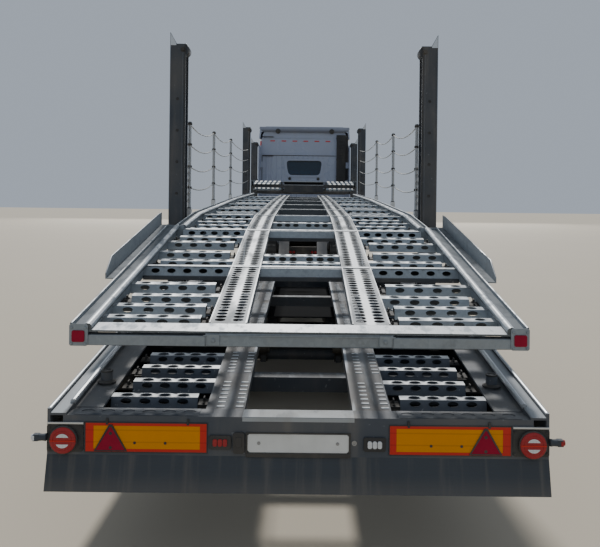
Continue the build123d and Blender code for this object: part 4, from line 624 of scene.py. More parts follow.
# Finishes under the slot of the record that they belong to, each with what makes its material
FINISHES = {
    "galvanised": {
        "galvanised": galvanised,
        "worn_rung": lambda name: galvanised(name, 1.0, 1.55, centre_shade=0.9),
        "bead_zinc": lambda name: galvanised(name, 0.85, 1.2, ridge=0.45),
        "dull_zinc": lambda name: galvanised(name, 0.1, 1.3, 0.85),
        "track_zinc": track_zinc,
    },
    "chassis_paint": {
        "chassis_paint": lambda name: painted(name, paint("chassis"), paint("chassis_worn"), 0.25, 0.5),
        # Greyed, and rubbed on the outer half of its level faces
        "beam_paint": lambda name: painted(
            name, paint("chassis", 1.5), paint("chassis_worn", 0.85), 0.7, 0.6, spread_from=0.34,
            where=lambda s: s.step(abs(s.axis("X")), 1.18, 1.2) + 0.12
        ),
        "worn_edge": lambda name: painted(name, paint("chassis_worn"), paint("chassis"), 0.35, 0.5, 0.1),
        "rung_paint": lambda name: painted(
            name, paint("chassis", 2.4), paint("zinc_worn"), 1.0, 0.4, level=0.96, spread_from=0.27
        ),
        "tractor_paint": lambda name: painted(
            name, paint("tractor"), paint("zinc"), 0.15, 0.65, low=0.3, high=1.2
        ),
        "track_paint": track_paint,
    },
    "cab_white": {"cab_paint": cab_paint, "fairing_paint": fairing_paint},
    "black_plastic": {
        "black_plastic": lambda name: moulded(name, paint("plastic"), 0.35, low=0.3, high=1.1),
        # Black at half the plastic's tone, with almost no gloss: painted shade for sheets and strips that
        # stand in for shadow.
        "underside": lambda name: moulded(name, paint("plastic", 0.5), 0.02, rough=0.75, gloss=0.05),
    },
    "rubber": {"flap_rubber": flap_rubber},
    "tyre": {"tyre_rubber": tyre_rubber},
    "glass": {"window_glass": window_glass},
    "lamp_red": {
        "lamp_red": lambda name: lens(name, linear(170, 50, 52), coat=0.25),
        "triangle_red": lambda name: lens(name, paint("triangle"), 420.0, 0.45, 0.05),
        "marker_red": lambda name: retroreflective(name, paint("red")),
    },
    "lamp_clear": {"lamp_clear": lambda name: lens(name, linear(225, 228, 230))},
    "marker_orange": {
        "marker_orange": lambda name: retroreflective(name, paint("orange")),
        "lamp_amber": lambda name: lens(name, linear(236, 122, 16)),
    },
    "plate_white": {"plate_white": plate_white},
    "forged_steel": {
        "forged_steel": lambda name: bare_steel(name, linear(74, 72, 70), 0.48, EVEN, 0.55, 0.8),
        "wire_rope": wire_rope,
    },
    "tank_metal": {
        "tank_metal": lambda name: bare_steel(name, linear(190, 193, 196), 0.28, (30.0, 0.6, 30.0)),
        "rim_metal": lambda name: bare_steel(name, linear(168, 170, 172), 0.36, (6.0, 6.0, 6.0), 0.45, 0.7),
        "mirror_silver": lambda name: bare_steel(name, linear(228, 230, 232), 0.08, (2.0, 2.0, 2.0), 0.04),
    },
    "cab_trim": {"cab_trim": cab_trim},
}
SLOTS = {finish: slot for slot, makers in FINISHES.items() for finish in makers}


def material(finish):
    """Material of a finish, made on its first use."""
    name = finish.replace("_", " ")
    return bpy.data.materials.get(name) or FINISHES[SLOTS[finish]][finish](name)


class DeckLine:
    """Line of a deck: its height along the lorry."""

    def __init__(self, stops):
        self.stops = stops

    def span(self, station):
        for start, end in pairwise(self.stops):
            if station <= end[0]:
                return start, end
        return self.stops[-2], self.stops[-1]

    def height(self, station):
        (s0, z0), (s1, z1) = self.span(station)
        return z0 + (z1 - z0) * (station - s0) / (s1 - s0)

    def at(self, station, x, lift=0.0):
        """Point over a station, lifted straight up from the line."""
        return Vector((x, REAR + station, self.height(station) + lift))

    def axes(self, station):
        """Directions up the slope and square to it."""
        (s0, z0), (s1, z1) = self.span(station)
        along = Vector((0.0, s1 - s0, z1 - z0)).normalized()
        return along, Vector((0.0, -along.z, along.y))

    def square(self, station, drop):
        """Function that gives a point of the slope: across, up the slope and out of it."""
        along, up = self.axes(station)
        origin = self.at(station, 0.0, -drop)

        def point(x, a, n):
            p = origin + along * a + up * n
            p.x = x
            return p

        return point

    def breaks(self, start, end):
        """Start, the line's breaks on the way, and end."""
        return [start] + [s for s, _ in self.stops if start < s < end] + [end]

    def stations(self, start, end, pitch):
        """Stations from start to end, near a pitch apart, with the line's breaks among them."""
        breaks = self.breaks(start, end)
        out = []
        for a, b in pairwise(breaks):
            count = max(1, round((b - a) / pitch))
            out += [a + (b - a) * i / count for i in range(count)]
        return out + [end]


UPPER = DeckLine(UPPER_STOPS)
LOWER = DeckLine(LOWER_STOPS)
FRONT = DeckLine(FRONT_STOPS)


def spread(start, end, count):
    """Values from start to end in equal steps."""
    return [start + (end - start) * i / count for i in range(count + 1)]


def turns(count):
    """Angles of a whole turn in equal steps."""
    return [2 * pi * n / count for n in range(count)]


def square_to(axis):
    """Two directions square to an axis and to each other."""
    side = axis.orthogonal().normalized()
    return side, axis.cross(side)


def circle(centre, side, over, radius, sides):
    """Points round a centre, in the plane of two directions."""
    return [centre + side * (radius * cos(t)) + over * (radius * sin(t)) for t in turns(sides)]


def upright(x0, x1, z0, z1, y, cut=0.0):
    """Rectangle across the lorry, its corners cut by a chamfer if cut is given."""
    if not cut:
        return [(x0, y, z0), (x1, y, z0), (x1, y, z1), (x0, y, z1)]
    return [
        (x0 + cut, y, z0), (x1 - cut, y, z0), (x1, y, z0 + cut), (x1, y, z1 - cut),
        (x1 - cut, y, z1), (x0 + cut, y, z1), (x0, y, z1 - cut), (x0, y, z0 + cut),
    ]


class Shape:
    """Mesh under construction."""

    def __init__(self):
        self.points = []
        self.faces = []

    def face(self, *points):
        first = len(self.points)
        self.points += [Vector(p) for p in points]
        self.faces.append(tuple(range(first, first + len(points))))

    def loft(self, rings, caps=True):
        """Quads between closed rings of as many points, and a face over each end if caps is set."""
        for ring, other in pairwise(rings):
            for k, n in enumerate([*range(1, len(ring)), 0]):
                self.face(ring[k], ring[n], other[n], other[k])
        if caps:
            self.face(*rings[0])
            self.face(*rings[-1])

    def prism(self, outline, offset):
        """Solid between an outline and its copy moved by an offset."""
        outline = [Vector(p) for p in outline]
        self.loft([outline, [p + Vector(offset) for p in outline]])

    def box(self, low, high):
        """Box between two corners."""
        (x0, y0, z0), (x1, y1, z1) = low, high
        self.prism([(x0, y0, z0), (x1, y0, z0), (x1, y1, z0), (x0, y1, z0)], (0.0, 0.0, z1 - z0))

    def slab(self, x0, x1, z0, z1, y, thick, cut=0.0):
        """Plate across the lorry, from y backwards by its thickness."""
        self.prism(upright(x0, x1, z0, z1, y, cut), BACK * thick)

    def rim(self, outer, inner, offset):
        """Flat frame between two outlines, as thick as the offset."""
        outer = [Vector(p) for p in outer]
        inner = [Vector(p) for p in inner]
        lifted = [[p + Vector(offset) for p in ring] for ring in (outer, inner)]
        self.loft([lifted[0], outer, inner, lifted[1], lifted[0]], caps=False)

    def rod(self, path, radius, sides=10, caps=True):
        """Tube along a path of points, with one radius or one for each point."""
        path = [Vector(p) for p in path]
        rings = []
        for k, p in enumerate(path):
            ahead = (path[min(k + 1, len(path) - 1)] - path[max(k - 1, 0)]).normalized()
            side = ahead.orthogonal().normalized()
            if abs(ahead.x) < 0.9:
                side = ahead.cross(RIGHT).normalized()
            r = radius[k] if isinstance(radius, list) else radius
            rings.append(circle(p, side, ahead.cross(side), r, sides))
        self.loft(rings, caps)

    def bead(self, line, start, end, x, lift, radius, sides=10):
        """Round bead along a deck line."""
        self.rod([line.at(s, x, lift) for s in line.breaks(start, end)], radius, sides)

    def lathe(self, profile, centre, axis, segments=32):
        """Turn a closed profile of (along, radius) points about an axis."""
        centre, axis = Vector(centre), Vector(axis).normalized()
        side, over = square_to(axis)
        rings = []
        for t in turns(segments):
            way = side * cos(t) + over * sin(t)
            rings.append([centre + axis * along + way * radius for along, radius in profile])
        self.loft(rings + [rings[0]], caps=False)

    def bolt(self, centre, axis, radius, height):
        """Hexagon head on its washer."""
        centre, axis = Vector(centre), Vector(axis).normalized()
        side, over = square_to(axis)
        for reach, ends, sides in ((1.5, (0.0, 0.25), 12), (1.0, (0.25, 1.0), 6)):
            self.loft([
                circle(centre + axis * (h * height), side, over, radius * reach, sides) for h in ends
            ])

    def sheet(self, place, us, vs, thick, oval=lambda i, j: None, collar=0.0):
        """Plate of cells: place(u, v, w) gives a point, and oval(i, j) a hole's half sizes or None."""
        angles = [radians(15 + 30 * n) for n in range(12)]
        for i, (u0, u1) in enumerate(pairwise(us)):
            for j, (v0, v1) in enumerate(pairwise(vs)):
                hole = oval(i, j)
                if hole is None:
                    corners = ((u0, v0), (u1, v0), (u1, v1), (u0, v1))
                    self.face(*[place(u, v, 0.0) for u, v in corners])
                    self.face(*[place(u, v, -thick) for u, v in reversed(corners)])
                    continue
                cu, cv = (u0 + u1) / 2, (v0 + v1) / 2
                edge = []
                for t in angles:
                    c, s = cos(t), sin(t)
                    k = max(abs(c), abs(s))
                    edge.append((cu + c / k * (u1 - u0) / 2, cv + s / k * (v1 - v0) / 2))

                def ring(grow, w):
                    a, b = hole
                    return [place(cu + a * grow * cos(t), cv + b * grow * sin(t), w) for t in angles]

                rings = [[place(u, v, 0.0) for u, v in edge]]
                if collar:
                    rings.append(ring(1.18, 0.0))
                rings += [ring(1.0, collar), ring(1.0, -thick)]
                rings.append([place(u, v, -thick) for u, v in edge])
                self.loft(rings, caps=False)
        for v0, v1 in pairwise(vs):
            for u in (us[0], us[-1]):
                self.face(place(u, v0, 0.0), place(u, v1, 0.0), place(u, v1, -thick), place(u, v0, -thick))
        for u0, u1 in pairwise(us):
            for v in (vs[0], vs[-1]):
                self.face(place(u0, v, 0.0), place(u1, v, 0.0), place(u1, v, -thick), place(u0, v, -thick))

    def pair(self, *labels, **options):
        """Piece with the same mesh on the lorry's other side."""
        first = len(self.points)
        self.points += [Vector((-p.x, p.y, p.z)) for p in self.points]
        self.faces += [tuple(first + k for k in reversed(f)) for f in self.faces]
        self.piece(*labels, **options)

    def piece(self, name, finish, body, replaces=(), bevel=0.0, sharp=35.0, weld=True):
        """Object made of the mesh, with its finish, riding on a body."""
        mesh = bpy.data.meshes.new(name)
        mesh.from_pydata(self.points, [], self.faces)
        work = bmesh.new()
        work.from_mesh(mesh)
        if weld:
            bmesh.ops.remove_doubles(work, verts=work.verts, dist=WELD)
        bmesh.ops.recalc_face_normals(work, faces=work.faces)
        work.to_mesh(mesh)
        work.free()
        mesh.polygons.foreach_set("use_smooth", [True] * len(mesh.polygons))
        mesh.set_sharp_from_angle(angle=radians(sharp))
        mesh.materials.append(material(finish))
        thing = bpy.data.objects.new(name, mesh)
        bpy.context.scene.collection.objects.link(thing)
        if bevel:
            edge = thing.modifiers.new("Rounded edges", "BEVEL")
            edge.width = bevel
            edge.segments = 2
            edge.limit_method = "ANGLE"
            edge.angle_limit = radians(40.0)
            edge.use_clamp_overlap = True
        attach(thing, body)
        if replaces:
            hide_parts(*replaces)


def shapes(count):
    return [Shape() for _ in range(count)]


def hat(shape, line, station, drop, x0, x1, section, holes, rung_oval, open_rows=(1, 2)):
    """Hat-shaped rung or bar with ovals in its open rows: 1 is the top of its rear flank, 2 its ridge."""
    base, ridge, height, wall = section
    point = line.square(station, drop)
    b, r = base / 2, ridge / 2
    cut = 0.3
    mid = (b + (r - b) * cut, -height * (1 - cut))
    folds = [(-b, -height), (-mid[0], mid[1]), (-r, 0.0), (r, 0.0), mid, (b, -height)]
    margin = min(0.03, (x1 - x0) * 0.08)
    us = [x0] + spread(x0 + margin, x1 - margin, holes) + [x1]
    cell = (x1 - x0 - 2 * margin) / holes
    half = min(rung_oval, cell * 0.38)
    for row, ((a0, n0), (a1, n1)) in enumerate(pairwise(folds)):
        run = hypot(a1 - a0, n1 - n0)
        da, dn = (a1 - a0) / run, (n1 - n0) / run

        def place(u, v, w):
            return point(u, a0 + da * v - dn * w, n0 + dn * v + da * w)

        def oval(i, j):
            if row in open_rows and 0 < i <= holes:
                return (half, run * 0.34)
            return None

        shape.sheet(place, us, [0.0, run], wall, oval, COLLAR if row in open_rows else 0.0)


def track(shape, line, start, end, decks, lip):
    """Perforated track on the right side, with two columns of ovals and turned edges."""
    width = TRACK_OUTER - TRACK_INNER
    us = [TRACK_INNER + width * part for part in (0.0, 0.09, 0.43, 0.57, 0.91, 1.0)]
    plain = 0.03
    vs = line.stations(start + plain, end - plain, decks.track_pitch)

    def place(u, v, w):
        return line.at(v, u, -TRACK_DROP + w)

    def hole(i, j):
        run = min(decks.track_pitch, vs[j + 1] - vs[j]) * 0.44
        return (decks.track_oval, run) if i in (1, 3) else None

    shape.sheet(place, us, vs, 0.0025, hole)
    for ends in ([start, start + plain], [end - plain, end]):
        shape.sheet(place, [us[0], us[-1]], ends, TRACK_WALL)
    for x in (TRACK_INNER, TRACK_OUTER - TRACK_WALL):
        rings = []
        for s in line.breaks(start, end):
            top, foot = -TRACK_DROP + lip, -TRACK_DROP - TRACK_DEPTH
            rings.append([
                line.at(s, x, top), line.at(s, x + TRACK_WALL, top),
                line.at(s, x + TRACK_WALL, foot), line.at(s, x, foot),
            ])
        shape.loft(rings)


def rung_bracket(shape, line, station, corner, drop=RUNG_DROP):
    """Folded bracket at a rung's free end, with its two bolts."""
    point = line.square(station, drop + BRACKET_DROP)
    half = RUNG[0] * 0.4

    def block(x0, x1, reach, top, foot):
        corners = ((-reach, top), (reach, top), (reach, foot), (-reach, foot))
        shape.loft([[point(x, a, n) for a, n in corners] for x in (x0, x1)])

    x0, x1 = corner + 0.001, corner + STAGGER - 0.001
    mid = (x0 + x1) / 2
    block(x0, x1, half, 0.0, -0.008)
    block(mid - 0.004, mid + 0.004, 0.014, 0.03, 0.0)
    for a in (-half * 0.6, half * 0.6):
        shape.bolt(point(mid, a, 0.0), line.axes(station)[1], 0.008, 0.008)


def cross_tube(shape, line, station, drop, width, depth, edge):
    """Square tube across the deck under a bar."""
    point = line.square(station, drop)
    half = width / 2
    section = ((-half, 0.0), (half, 0.0), (half, -depth), (-half, -depth))
    shape.loft([[point(x, a, n) for a, n in section] for x in (0.0, edge)])


class TRANSPORTER_OT_finishes(Operator):
    """Give every solid of the frame its finish"""

    bl_idname = "transporter.finishes"
    bl_label = "Finishes"

    looks = {
        "galvanised": ("upper_tracks", "upper_rungs", "upper_crossbars", "rope_posts", "front_deck_tracks",
                       "front_deck_rungs", "deck_carriages"),
        "dull_zinc": ("upper_beams", "front_deck_beams"),
        "beam_paint": ("side_beams", "rear_end_beam"),
        "chassis_paint": ("trailer_rails", "coupling_plate", "lower_crossbars",
                          "deck_columns", "trailer_axles", "landing_legs", "lower_tracks"),
        "rung_paint": ("lower_rungs",),
        "tractor_paint": ("tractor_frame", "drive_axle", "front_axle"),
        "cab_paint": ("cab_shell", "cab_fairings", "door_right", "door_left", "front_bumper"),
        "black_plastic": ("trailer_mudguards", "grille", "air_intake", "mirrors", "fenders"),
        "flap_rubber": ("rear_flap",),
        "tyre_rubber": ("trailer_wheel_rear_right", "trailer_wheel_rear_left", "trailer_wheel_front_right",
                        "trailer_wheel_front_left", "front_wheel_right", "front_wheel_left",
                        "drive_wheel_right", "drive_wheel_left"),
        "window_glass": ("cab_glass", "door_glass_right", "door_glass_left"),
        "lamp_red": ("rear_lamps",),
        "lamp_clear": ("headlamps",),
        "marker_orange": ("marker_boards",),
        "plate_white": ("number_plate",),
        "forged_steel": ("fifth_wheel", "engine_block", "knuckle_right", "knuckle_left"),
        "tank_metal": ("fuel_tanks", "side_guards"),
        "cab_trim": ("dashboard", "seats"),
    }

    def execute(self, context):
        missing = set(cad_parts).difference(*self.looks.values())
        if missing:
            raise RuntimeError("no finish for " + ", ".join(sorted(missing)))
        for finish, nodes in self.looks.items():
            for node in nodes:
                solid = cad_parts[node]
                for slot in solid.material_slots:
                    slot.material = material(finish)
                if not solid.material_slots:
                    solid.data.materials.append(material(finish))
        return {"FINISHED"}


class TRANSPORTER_OT_upper_deck(Operator):
    """Perforated tracks, rungs and bars of the upper deck"""

    bl_idname = "transporter.upper_deck"
    bl_label = "Upper deck"

    def execute(self, context):
        decks = context.scene.transporter_decks
        tracks, rungs, brackets = shapes(3)
        for start, end in ((UPPER_REAR + 0.124, UPPER_BREAK - 0.012), (UPPER_BREAK, UPPER_END)):
            track(tracks, UPPER, start, end, decks, 0.006)
        for bar, steps, inward in UPPER_BAYS:
            edge = UPPER_INNER if bar < UPPER_BREAK - BAR[0] else MAIN_INNER
            near, far = TRACK_OUTER + SEAT_GAP, edge - SEAT_GAP
            for step, inner in zip(steps, inward):
                start = near if inner else near + STAGGER
                hat(rungs, UPPER, bar + step, RUNG_DROP, start, start + far - near - STAGGER, RUNG, 4,
                    decks.rung_oval)
                rung_bracket(brackets, UPPER, bar + step, far - STAGGER if inner else near)
        tracks.pair("upper_tracks_sheet", "track_zinc", "upper_deck", ("upper_tracks",))
        rungs.pair("upper_rungs_pressed", "worn_rung", "upper_deck", ("upper_rungs",))
        brackets.pair("upper_rung_brackets", "black_plastic", "upper_deck", bevel=0.0015)
        self.bars(decks)
        return {"FINISHED"}

    def bars(self, decks):
        """Pressed bars with the tubes under them, and the channel across the rear."""
        bars, tubes, rear = shapes(3)
        inner, outer = TRACK_INNER - SEAT_GAP, TRACK_OUTER + SEAT_GAP
        side = UPPER_INNER - SEAT_GAP
        cross_tube(bars, UPPER, UPPER_REAR + BAR[0] / 2, RUNG_DROP / 2, BAR[0], 0.01, side)
        for bar, _, _ in UPPER_BAYS[1:]:
            edge = (UPPER_INNER if bar < UPPER_BREAK - BAR[0] else MAIN_INNER) - SEAT_GAP
            hat(bars, UPPER, bar, TRACK_DROP, 0.0, inner, BAR, 3, 0.03, ())
            hat(bars, UPPER, bar, TRACK_DROP, outer, edge, BAR, 5, 0.03, (1,))
            cross_tube(bars, UPPER, bar, TRACK_DROP - 0.005, 0.034, 0.005, edge)
            cross_tube(tubes, UPPER, bar, 0.085, BAR[0], 0.03, edge)
        for station in CENTRE_RUNGS:
            hat(bars, UPPER, station, RUNG_DROP, 0.0, inner, RUNG, 3, 0.028)
        # The channel, and its sill under the bars at the sides
        for x0, x1, top, depth in (
            (0.0, TRACK_OUTER, -0.037, 0.088),
            (TRACK_OUTER, side, -0.05, 0.04),
        ):
            s0, s1 = UPPER_REAR, UPPER_REAR + depth
            section = ((s0, top), (s1, top), (s1, -BEAM_DEEP), (s0, -BEAM_DEEP))
            rear.loft([[UPPER.at(s, x, lift) for s, lift in section] for x in (x0, x1)])
        bars.pair("upper_bars_pressed", "worn_rung", "upper_deck", ("upper_crossbars",))
        # The tubes under the bars take dark chassis paint in place of zinc: painted shade.
        tubes.pair("upper_cross_tubes", "chassis_paint", "upper_deck", ("upper_crossbars",), 0.003)
        rear.pair("upper_rear_tube", "dull_zinc", "upper_deck", ("upper_crossbars",), 0.003)


class TRANSPORTER_OT_lower_deck(Operator):
    """Perforated tracks and rungs of the lower deck"""

    bl_idname = "transporter.lower_deck"
    bl_label = "Lower deck"

    # Dark corrugated sheets under the deck, put there as painted shade of the ground below: their edges
    # across and along, and their drop
    closing = (
        (0.432, 1.158, 0.2, 2.8, -0.2),
        (0.432, 0.712, 2.84, 5.35, -0.24),
        (0.0, 0.329, 3.0, 9.4, -0.29),
    )

    def execute(self, context):
        decks = context.scene.transporter_decks
        rungs, brackets, tracks, ribs, sheets = shapes(5)
        for first, count, spacing in LOWER_RUNGS:
            for i in range(count):
                station = first + i * spacing
                start = TRACK_OUTER + SEAT_GAP + (STAGGER if i == 0 else 0.0)
                far = 1.03 - SEAT_GAP - (0.0 if i == 0 else STAGGER)
                hat(rungs, LOWER, station, TRACK_DROP, start, far, RUNG, 4, decks.rung_oval)
                rung_bracket(brackets, LOWER, station, TRACK_OUTER if i == 0 else far, TRACK_DROP)
        rungs.pair("lower_rungs_pressed", "rung_paint", "trailer", ("lower_rungs",))
        brackets.pair("lower_rung_brackets", "black_plastic", "trailer", bevel=0.0015)
        foot, roof = -TRACK_DROP - TRACK_DEPTH, -TRACK_DROP - TRACK_WALL
        inner, outer = TRACK_INNER + TRACK_WALL, TRACK_OUTER - TRACK_WALL
        outline = [
            (TRACK_INNER, foot), (TRACK_INNER, -TRACK_DROP), (TRACK_OUTER, -TRACK_DROP), (TRACK_OUTER, foot),
            (outer, foot), (outer, roof), (inner, roof), (inner, foot),
        ]
        rings = [[LOWER.at(s, x, lift) for x, lift in outline] for s in LOWER.breaks(0.16, 12.85)]
        tracks.loft(rings, caps=False)
        tracks.pair("lower_tracks_sheet", "track_paint", "trailer", ("lower_tracks",))
        # Bright raised ribs in groups of seven: painted light, for the spots of sun that fall through the
        # upper deck's ovals.
        for k, station in enumerate(LOWER.stations(0.2, 5.6, decks.light_spot_pitch)):
            for x in (TRACK_INNER + 0.074, TRACK_OUTER - 0.03, 0.074 - TRACK_OUTER, -TRACK_INNER - 0.03):
                if k % 9 < 7:
                    top = LOWER.at(station, x, -TRACK_DROP)
                    ribs.box(top - Vector((0.021, 0.011, 0.001)), top + Vector((0.021, 0.011, 0.0022)))
        ribs.piece("lower_track_ribs", "worn_rung", "trailer", bevel=0.001)
        for x0, x1, start, end, lift in self.closing:
            stops = LOWER.stations(start, end, 0.07)
            rise = {stop: lift + 0.006 * (k % 2) for k, stop in enumerate(stops)}
            sheets.sheet(lambda u, v, w: LOWER.at(v, u, rise[v] + w), [x0, x1], stops, 0.004)
        sheets.pair("closing_sheets", "underside", "trailer")
        return {"FINISHED"}


def inset(x0, x1, z0, z1, margin):
    """Edges of a rectangle, drawn in by a margin."""
    return x0 + margin, x1 - margin, z0 + margin, z1 - margin


def arc(x, z, radius, y, sides, start, end):
    """Points of an arc across the lorry."""
    angles = [radians(start + (end - start) * k / sides) for k in range(sides + 1)]
    return [(x + radius * cos(t), y, z + radius * sin(t)) for t in angles]


class TRANSPORTER_OT_rear_end(Operator):
    """Marker boards, lamps, blank plate and the trim of the rear end beam"""

    bl_idname = "transporter.rear_end"
    bl_label = "Rear end"

    def execute(self, context):
        self.boards(PANEL_Y)
        self.corner_lamps(PANEL_Y)
        self.arm_lamps(PANEL_Y - 0.02, LAMP_Z + 0.015)
        self.plate(PANEL_Y)
        self.panel_lamps(PANEL_Y)
        self.end_beam(PANEL_Y)
        self.bollards(1.105, 0.47)
        return {"FINISHED"}

    def boards(self, y):
        """Marker boards: orange fields with red edges and triangles."""
        field, edge, warning, trim, rim = shapes(5)
        board = x0, x1, z0, z1 = 0.46, 1.084, 0.702, 0.857
        skin = 0.0025
        field.slab(*inset(*board, 0.004), y, skin, 0.006)
        edge.rim(upright(*inset(*board, 0.004), y - skin),
                 upright(x0 + 0.039, x1 - 0.045, z0 + 0.019, z1 - 0.019, y - skin), BACK * 0.001)
        rim.rim(upright(*board, y), upright(*inset(*board, 0.005), y), BACK * 0.0045)
        middle = 0.952

        def triangle(half, tip, foot, peak):
            corners = ((-half, foot), (half, foot), (tip, peak), (-tip, peak))
            return [(middle + x, y - 0.003, z) for x, z in corners]

        within = triangle(0.075, 0.004, z0 + 0.013, z1 - 0.024)
        warning.prism(within, BACK * 0.0035)
        rim.rim(triangle(0.084, 0.008, z0 + 0.008, z1 - 0.012), within, BACK * 0.0048)
        for x in (0.675, 0.83):
            rim.bolt((x, y - 0.0024, 0.752), BACK, 0.005, 0.003)
        for z in (0.728, 0.8):
            rim.bolt((middle, y - 0.0064, z), BACK, 0.0055, 0.002)
        for x in (0.56, 0.97):
            rim.box((x - 0.006, y - 0.007, 0.845), (x + 0.006, y, 0.876))
        trim.slab(1.088, 1.272, 0.846, 0.856, y, 0.012)
        field.pair("marker_field", "marker_orange", "trailer", ("marker_boards",))
        edge.pair("marker_edge", "marker_red", "trailer", ("marker_boards",))
        warning.pair("marker_triangle", "triangle_red", "trailer", bevel=0.001)
        trim.pair("board_trim", "galvanised", "trailer", bevel=0.001)
        rim.pair("board_clips", "black_plastic", "trailer", bevel=0.0008)

    def corner_lamps(self, y):
        """Round lamps on their brackets at the corners."""
        bracket, housing, lens_ring, moons, line = shapes(5)
        bracket.slab(1.09, 1.275, 0.704, 0.842, y, 0.005, 0.008)
        for x, z in ((1.1, 0.72), (1.262, 0.72), (1.1, 0.828), (1.262, 0.828)):
            bracket.bolt((x, y - 0.005, z), BACK, 0.006, 0.005)
        centre = (LAMP_X, y, LAMP_Z)
        bowl = [(0.005, 0.0), (0.005, 0.071), (0.02, 0.0725), (0.024, 0.068), (0.024, 0.0)]
        housing.lathe(bowl, centre, BACK, 40)
        lens_ring.lathe([
            (0.0235, 0.0), (0.0235, 0.067), (0.0275, 0.0655), (0.031, 0.057), (0.0315, 0.051),
            (0.0298, 0.049), (0.0308, 0.047), (0.0315, 0.03), (0.0318, 0.0),
        ], centre, BACK, 48)
        for start, end in ((28.0, 152.0), (208.0, 332.0)):
            moons.prism(arc(LAMP_X, LAMP_Z, 0.036, y - 0.0316, 14, start, end), BACK * 0.002)
        line.box((LAMP_X - 0.064, y - 0.0335, LAMP_Z - 0.003), (LAMP_X + 0.064, y - 0.029, LAMP_Z + 0.003))
        bracket.pair("lamp_brackets", "black_plastic", "trailer", ("rear_lamps",), 0.0012)
        housing.pair("lamp_housings", "black_plastic", "trailer", ("rear_lamps",))
        lens_ring.pair("lamp_lenses", "lamp_red", "trailer", ("rear_lamps",))
        moons.pair("lamp_moons", "lamp_clear", "trailer", bevel=0.0008)
        line.pair("lamp_lines", "marker_red", "trailer", bevel=0.0006)

    def arm_lamps(self, y, z):
        """Outline lamps on rubber arms: red on the right, clear on the left, as in the photo."""
        arm = Shape()
        arm.rod([(1.27, y, z), (1.29, y, z), (1.31, y, z)], [0.0195, 0.017, 0.0185], 12)
        arm.box((1.307, y - 0.016, z - 0.017), (1.336, y + 0.016, z + 0.017))
        arm.pair("lamp_arms", "flap_rubber", "trailer", ("rear_lamps",), 0.003)
        for name, side, finish in (("right", 1, "lamp_red"), ("left", -1, "lamp_clear")):
            tip = Shape()
            tip.lathe([(0.0, 0.0), (0.0, 0.016), (0.008, 0.014), (0.0105, 0.008), (0.011, 0.0)],
                      (side * 1.336, y, z), RIGHT * side, 24)
            x = side * 1.33
            tip.box((x - 0.008, y - 0.0185, z - 0.012), (x + 0.004, y - 0.0155, z + 0.012))
            tip.piece("arm_lamp_" + name, finish, "trailer", ("rear_lamps",), 0.001)

    def plate(self, y):
        """Blank number plate in its holder."""
        plate, holder = shapes(2)
        plate.slab(-0.258, 0.258, 0.71, 0.806, y - 0.001, 0.0022, 0.012)
        plate.rim(upright(-0.254, 0.254, 0.714, 0.802, y - 0.003, 0.01),
                  upright(-0.248, 0.248, 0.72, 0.796, y - 0.003, 0.008), BACK * 0.0009)
        holder.rim(upright(-0.266, 0.266, 0.69, 0.812, y),
                   upright(-0.257, 0.257, 0.711, 0.805, y), BACK * 0.007)
        holder.box((-0.262, y - 0.0095, 0.688), (0.262, y, 0.7075))
        plate.piece("number_plate_blank", "plate_white", "trailer", ("number_plate",), 0.0004)
        holder.piece("plate_holder", "black_plastic", "trailer", bevel=0.0015)

    def panel_lamps(self, y):
        """Two rows of three small lamps beside the plate, a socket and screws."""
        red, clear, dark, small = shapes(4)
        lamps = ((red, -0.434, -0.358, 0.742, 0.78), (clear, 0.35, 0.426, 0.739, 0.777))
        for shape, x0, x1, z0, z1 in lamps:
            dark.slab(x0 - 0.018, x1 + 0.018, z0 - 0.016, z1 + 0.016, y, 0.012, 0.006)
            cells = spread(x0, x1, 3)
            for c0, c1 in pairwise(cells):
                shape.slab(c0 + 0.0015, c1 - 0.0015, z0, z1, y - 0.01, 0.007, 0.006)
        dark.slab(-0.33, -0.272, 0.707, 0.812, y, 0.016, 0.008)
        dark.box((-0.318, y - 0.019, 0.74), (-0.287, y - 0.015, 0.79))
        for x in (-0.2, 0.2):
            small.bolt((x, y - 0.0032, 0.758), BACK, 0.006, 0.004)
        socket = [(0.0, 0.0), (0.0, 0.013), (0.004, 0.013), (0.004, 0.007), (0.001, 0.006), (0.001, 0.0)]
        small.lathe(socket, (0.285, y, 0.762), BACK, 20)
        red.piece("panel_lamp_red", "lamp_red", "trailer", ("rear_lamps",), 0.0015)
        clear.piece("panel_lamp_clear", "lamp_clear", "trailer", ("rear_lamps",), 0.0015)
        dark.piece("panel_lamp_boxes", "black_plastic", "trailer", ("rear_lamps",), 0.0015)
        small.piece("panel_screws", "rim_metal", "trailer")

    def end_beam(self, y):
        """Rubbed middle and perforated strips on the end beam's top."""
        worn, strips = shapes(2)
        worn.box((-TRACK_INNER, y - 0.0012, 0.866), (TRACK_INNER, y, 0.887))
        worn.box((-TRACK_INNER, y, 0.8875), (TRACK_INNER, y + 0.116, 0.8892))
        worn.piece("end_beam_wear", "worn_edge", "trailer", bevel=0.0006)

        def place(u, v, w):
            return Vector((u, y + v, 0.8915 + w))

        strips.sheet(place, spread(TRACK_OUTER + 0.02, 1.14, 6), [0.006, 0.112], 0.003,
                     lambda i, j: (0.034, 0.026))
        strips.pair("end_beam_strip", "beam_paint", "trailer")

    def bollards(self, x, station):
        """Rings and lids on the bollards behind the first lower rungs."""
        rings = Shape()
        base = LOWER.height(station) + 0.047
        for profile, z, segments in (
            ([(-0.004, 0.034), (0.004, 0.033), (0.004, 0.023), (-0.002, 0.021), (-0.006, 0.033)], base, 28),
            ([(0.0, 0.0), (0.0, 0.022), (0.0012, 0.022), (0.0012, 0.0)], base, 20),
            ([(-0.045, 0.033), (-0.045, 0.052), (-0.04, 0.052), (-0.032, 0.036), (-0.03, 0.033)],
             base - 0.02, 28),
        ):
            rings.lathe(profile, (x, REAR + station, z), UP, segments)
        rings.pair("bollard_rings", "black_plastic", "trailer")


